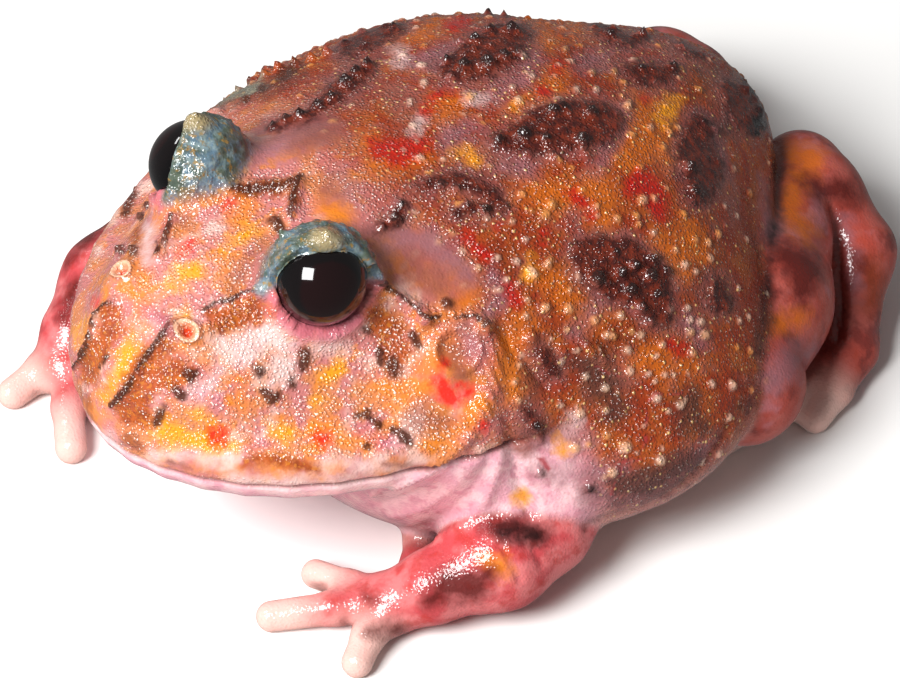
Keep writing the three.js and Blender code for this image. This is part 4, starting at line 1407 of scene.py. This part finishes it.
# %% [markdown]
# ## Clouds of pigment
#
# Over the grounds lie clouds with soft, uneven edges: russet and orange first, then lilac and cream, then
# clear yellow and red.  Orange, lilac and red are deeper on the back than on the head, so these three are
# mixed by where the skin lies.  The brown bars of the snout have a warm inside of their own.  The grey low on
# the flank, the crease line among the leg's bands and the near-black clouds in the gaps between flank, leg
# and arm are painted shade, not pigment.

# %% Clouds of pigment
deep_or_bright = {
    "orange": over(t, paint("c4600c"), paint("e07c10"), head),
    "lilac": over(t, paint("8c5c64"), paint("a06a70"), head),
    "red": over(t, paint("b01408"), paint("dc1c0c"), head),
}
# Each cloud is a kind of mark, its pigment, how much of it covers, and how soft its edge is in mm.
CLOUDS = [
    ("russet", "7c300e", 0.75, 2.6),
    ("orange", deep_or_bright["orange"], 0.85, 2.2),
    ("lilac", deep_or_bright["lilac"], 0.75, 2.2),
    ("dusky", "8c4c3e", 0.75, 2.2),
    # A grey skin patch on the brow, and painted shade low on the flank.
    ("grey_and_flank_shade", "4c2c24", 0.8, 2.0),
    ("moss", "8c8c78", 0.8, 1.2),
    ("cream", "e4c4c0", 0.8, 2.2),
    ("yellow", "ec960c", 0.9, 1.5),
    ("pink", "c06478", 0.55, 1.6),
]
for kind, pigment, share, softness in CLOUDS:
    colour = clouded(colour, kind, pigment, share, softness=softness)
colour = clouded(colour, "red", deep_or_bright["red"], 0.92, 0.6, 1.2, 900.0)
colour = wash(colour, "c86474", times(by("eye_skin", 2.2, 0.9), 0.7))

brown_colour = over(t, paint("a84a10"), paint("843208"), cloud(700.0, 0.42, 0.6))
brown_colour = wash(brown_colour, "d07c20", times(cloud(1400.0, 0.52, 0.64), 0.6))
colour = over(t, colour, brown_colour, times(edge(field(t, "brown"), 0.5, 1.0, 900.0), 0.88))
colour = clouded(colour, "smudge", "7c3c28", 0.7, 0.5, 0.8, 1000.0)
# Dark red limb bands, and painted shade along the leg's crease.
colour = clouded(colour, "bands_and_crease_shade", "50120e", 0.9, 0.6, 2.0, 600.0)
# Near-black painted shade in the gaps between flank, leg and arm.
colour = clouded(colour, "gap_shade", "240c0c", 0.92, 0.7, 1.6, 500.0)
print("clouds are painted")

# %% [markdown]
# ## Bumps, blotches and lids
#
# The pustules are paler than the skin round them, and the blotches nearly black where their warts stand,
# with a dusky lilac halo.  Spots and thin lines come next, then the blue-grey lids with ochre specks and
# horn-coloured tips.  The mouth and the nostrils get a little dark red, and every hollow gets dark red as
# painted shade.

# %% Bumps, blotches and lids
dark = edge(field(t, "dark"), 0.5, 0.9, 900.0)
halo = edge(maths(t, "ADD", field(t, "dark"), -0.9), 0.7, 1.6, 700.0)
colour = wash(colour, "7c4c4c", times(halo, 0.65))
bead_colour = over(t, paint("e09850"), paint("f0ccb4"), cloud(120.0, 0.42, 0.6))
colour = over(t, colour, bead_colour, times(times(field(t, "pustule"), 0.65), less(dark)))
colour = wash(colour, "fcd088", times(times(beads.outputs["Mask"], field(t, "pearls")), 0.8))
dark_colour = over(t, paint("400e08"), paint("6c220c"), cloud(900.0, 0.4, 0.6))
dark_colour = wash(dark_colour, "a07068", times(field(t, "pustule"), 0.4))
dark_colour = wash(dark_colour, "100808", times(by("knob", 1.0, 0.6), 0.9))
colour = over(t, colour, dark_colour, times(dark, 0.95))
colour = clouded(colour, "black", "10181c", 0.9, 0.6, 0.8, 700.0)
colour = clouded(colour, "spot", "4c2010", 0.92, 0.22, 0.5, 1200.0)
colour = clouded(colour, "line", "3c1a10", 0.9, 0.14, 0.3, 1500.0)

lid_colour = over(t, paint("587080"), paint("7c8e90"), cloud(900.0, 0.4, 0.6))
lid_colour = wash(lid_colour, "40482c", times(cloud(420.0, 0.4, 0.6), 0.8))
lid_colour = wash(lid_colour, "a07828", times(cloud(1300.0, 0.53, 0.68), 0.7))
lid_colour = wash(lid_colour, "a8946c", times(by("horn", 2.8, 1.2), 0.8))
colour = over(t, colour, lid_colour, field(t, "lid"))
colour = wash(colour, "a03038", times(edge(field(t, "vein"), 0.1, 0.3), 0.8))
colour = wash(colour, "7d3a34", times(by("mouth", 0.45, 0.1), 0.75))
colour = wash(colour, "6a3020", times(by("nostril", 1.35, 1.15), 0.5))
colour = wash(colour, "e8b090", by("nostril", 1.15, 1.0))
colour = wash(colour, "d88c68", by("nostril", 0.9, 0.7))
colour = wash(colour, "cc3c14", by("nostril", 0.65, 0.4))
# A hollow is where there is little open air in front of the skin; hollows are painted dark red as shade.
hollow_shade = times(by("open_air", 0.75, 0.15), less(by("eye_skin", 2.0, 1.0)))
colour = wash(colour, "6c2420", times(hollow_shade, 0.6))
print("blotches and lids are painted")

# %% [markdown]
# ## The wet surface
#
# A frog shines because it is wet: a thin clear coat lies over softer flesh that lets a little light in.
# The granules lift the coat, so that each catches its own gleam, and their tips are painted nearly white in
# patches, partly as pale skin and partly as painted highlights.
# The coat weighs less on the limbs; its roughness and its IOR are plain numbers.

# %% Wet surface
# The near-white tips are partly pale skin and partly painted highlights, stronger on the head.
patchy = cloud(420.0, 0.3, 0.55)
tip_glint = times(grains.outputs["Tip_glint"], field(t, "grainy"))
tip_glint = times(tip_glint, times(patchy, maths(t, "ADD", times(head, 0.55), 0.3)))
colour = wash(colour, "fff4ea", times(tip_glint, less(times(dark, 0.6))))
fine_height = times(grains.outputs["Height"], maths(t, "ADD", times(field(t, "grainy"), 0.7), 0.25))
pearl_height = times(times(beads.outputs["Height"], field(t, "pearls")), 1.5)
bump_inputs = {"Height": maths(t, "ADD", fine_height, pearl_height), "Distance": 0.00012, "Strength": 1.0}
bump = node(t, "ShaderNodeBump", bump_inputs).outputs["Normal"]
wet_skin = {
    "Base Color": colour,
    "Roughness": maths(t, "ADD", times(cloud(800.0, 0.3, 0.7), 0.16), 0.38),
    "Normal": bump,
    "IOR": 1.4,
    "Specular IOR Level": 0.1,
    "Coat Weight": maths(t, "SUBTRACT", 0.9, times(field(t, "limb"), 0.25)),
    "Coat Roughness": 0.12,
    "Coat IOR": 1.65,
    "Coat Normal": bump,
    "Subsurface Weight": 0.08,
    "Subsurface Radius": (1.0, 0.45, 0.3),
    "Subsurface Scale": 0.001,
}
shader = node(t, "ShaderNodeBsdfPrincipled", wet_skin)
node(t, "ShaderNodeOutputMaterial", {"Surface": shader.outputs["BSDF"]})

skin.data.materials.clear()
skin.data.materials.append(skin_finish)
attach(skin, "root")
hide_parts(*FLESH_NODES)
print("skin finish:", len(t.nodes), "nodes")

# %% [markdown]
# ## Eyes
#
# The eyes are wet black beads, with only a faint red-brown glow in the middle, under a clear cornea.  A fine
# sphere replaces each coarse solid, and it is painted by how far forward a point lies along that eye's own
# line of sight.

# %% Eyeballs
def eye_finish(name, look, centre):
    made = bpy.data.materials.new(name)
    made.use_nodes = True
    tree = made.node_tree
    tree.nodes.clear()
    place = node(tree, "ShaderNodeTexCoord").outputs["Object"]
    centring = {"Vector": place, "Location": [-c for c in centre]}
    centred = node(tree, "ShaderNodeMapping", centring, vector_type="POINT")
    out = node(tree, "ShaderNodeVectorMath", {0: centred.outputs[0], 1: look}, operation="DOT_PRODUCT")
    forward = maths(tree, "DIVIDE", out.outputs["Value"], EYE_R * MM)
    streak = node(tree, "ShaderNodeTexNoise", {"Vector": place, "Scale": 900.0, "Detail": 4.0}).outputs["Fac"]
    ring = maths(tree, "ADD", forward, maths(tree, "MULTIPLY", maths(tree, "SUBTRACT", streak, 0.5), 0.06))
    shade = over(tree, paint("050405"), paint("0c0809"), step(tree, ring, 0.3, 0.6))
    shade = over(tree, shade, paint("160708"), step(tree, ring, 0.74, 0.8))
    bump = node(tree, "ShaderNodeBump", {"Height": streak, "Strength": 0.03, "Distance": 0.0001})
    wet_eye = {
        "Base Color": shade,
        "Roughness": maths(tree, "ADD", maths(tree, "MULTIPLY", streak, 0.05), 0.08),
        "Normal": bump.outputs["Normal"],
        "IOR": 1.4,
        "Specular IOR Level": 0.15,
        "Coat Weight": 1.0,
        "Coat Roughness": 0.02,
        "Coat IOR": 1.45,
    }
    shader = node(tree, "ShaderNodeBsdfPrincipled", wet_eye)
    node(tree, "ShaderNodeOutputMaterial", {"Surface": shader.outputs["BSDF"]})
    return made


for name, side in (("eye_left", 1), ("eye_right", -1)):
    low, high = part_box(name)
    centre = (low + high) / 2
    deselect()
    bpy.ops.mesh.primitive_uv_sphere_add(segments=64, ring_count=40, radius=EYE_R * MM, location=centre)
    eye = bpy.context.active_object
    eye.name = name.replace("eye", "eyeball")
    bpy.ops.object.transform_apply(location=True, rotation=True, scale=True)
    bpy.ops.object.shade_smooth()
    eye.data.materials.append(eye_finish(eye.name + "_finish", EYE_LOOK * [side, 1, 1], centre))
    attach(eye, "root")
    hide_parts(name)
    print(eye.name, "at", [round(c / MM, 1) for c in centre], "mm")

# %% [markdown]
# ## Floor
#
# The frog was photographed on plain white.  The floor is a wide pale disc under it.  It is left out of
# reflections, so that it doesn't whiten the lower half of the wet skin.

# %% Floor
FLOOR_R = 1.6
deselect()
bpy.ops.mesh.primitive_circle_add(vertices=96, radius=FLOOR_R, fill_type="NGON", location=(0, 0, 0))
floor = bpy.context.active_object
floor.name = "floor"
floor_finish = bpy.data.materials.new("pale_floor")
floor_finish.use_nodes = True
ft = floor_finish.node_tree
floor_place = node(ft, "ShaderNodeTexCoord").outputs["Object"]
floor_noise = node(ft, "ShaderNodeTexNoise", {"Vector": floor_place, "Scale": 30.0}).outputs["Fac"]
floor_shader = ft.nodes["Principled BSDF"]
put(floor_shader.inputs["Base Color"], over(ft, paint("f3f2f0"), paint("efedeb"), floor_noise), ft)
floor_shader.inputs["Roughness"].default_value = 0.7
floor.data.materials.append(floor_finish)
floor.visible_glossy = False
floor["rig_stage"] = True
print("floor radius", FLOOR_R, "m")

# %% [markdown]
# ## Light
#
# The gleams in the photograph come from one big soft light, left of the camera and a little above it.  The
# key panel stands there and gives the square gleam in the eye.  A weak panel lights the back from the
# upper left, and a pale sky lifts the shadows.

# %% Lights
def panel(name, direction, distance, width, height, power, turn=0):
    """A soft panel that looks at the frog from a direction given by its right, up and back shares."""
    toward = unit(direction[0] * RIGHT + direction[1] * UP + direction[2] * BACK)
    middle = (AIM + [0, 0, 15] + SHIFT) * MM
    deselect()
    bpy.ops.object.light_add(type="AREA", location=Vector(middle + toward * distance))
    light = bpy.context.active_object
    light.name = name
    light.rotation_mode = "QUATERNION"
    light.rotation_quaternion = Vector(-toward).to_track_quat("-Z", "Y") @ Quaternion((0, 0, 1), turn)
    light.data.shape = "RECTANGLE"
    light.data.size, light.data.size_y = width, height
    light.data.energy = power
    return light


panel("key_panel", (-0.5, 0.17, 0.85), distance=0.8, width=0.38, height=0.38, power=11.2, turn=0.5)
panel("top_panel", (-0.585, 0.774, 0.248), distance=0.5, width=0.14, height=0.03, power=0.25)
world = bpy.data.worlds.new("pale_studio")
bpy.context.scene.world = world
world.use_nodes = True
world.node_tree.nodes["Background"].inputs["Color"].default_value = (1, 1, 1, 1)
world.node_tree.nodes["Background"].inputs["Strength"].default_value = 0.17
bpy.context.scene.view_settings.view_transform = "Standard"

# %% [markdown]
# ## Size of the dressed frog
#
# The dressed frog has to stay the size of its solids, so its box is printed.

# %% Print the dressed box
low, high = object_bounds()
print("dressed box in mm:", [round(c / MM, 1) for c in (*low, *high)])
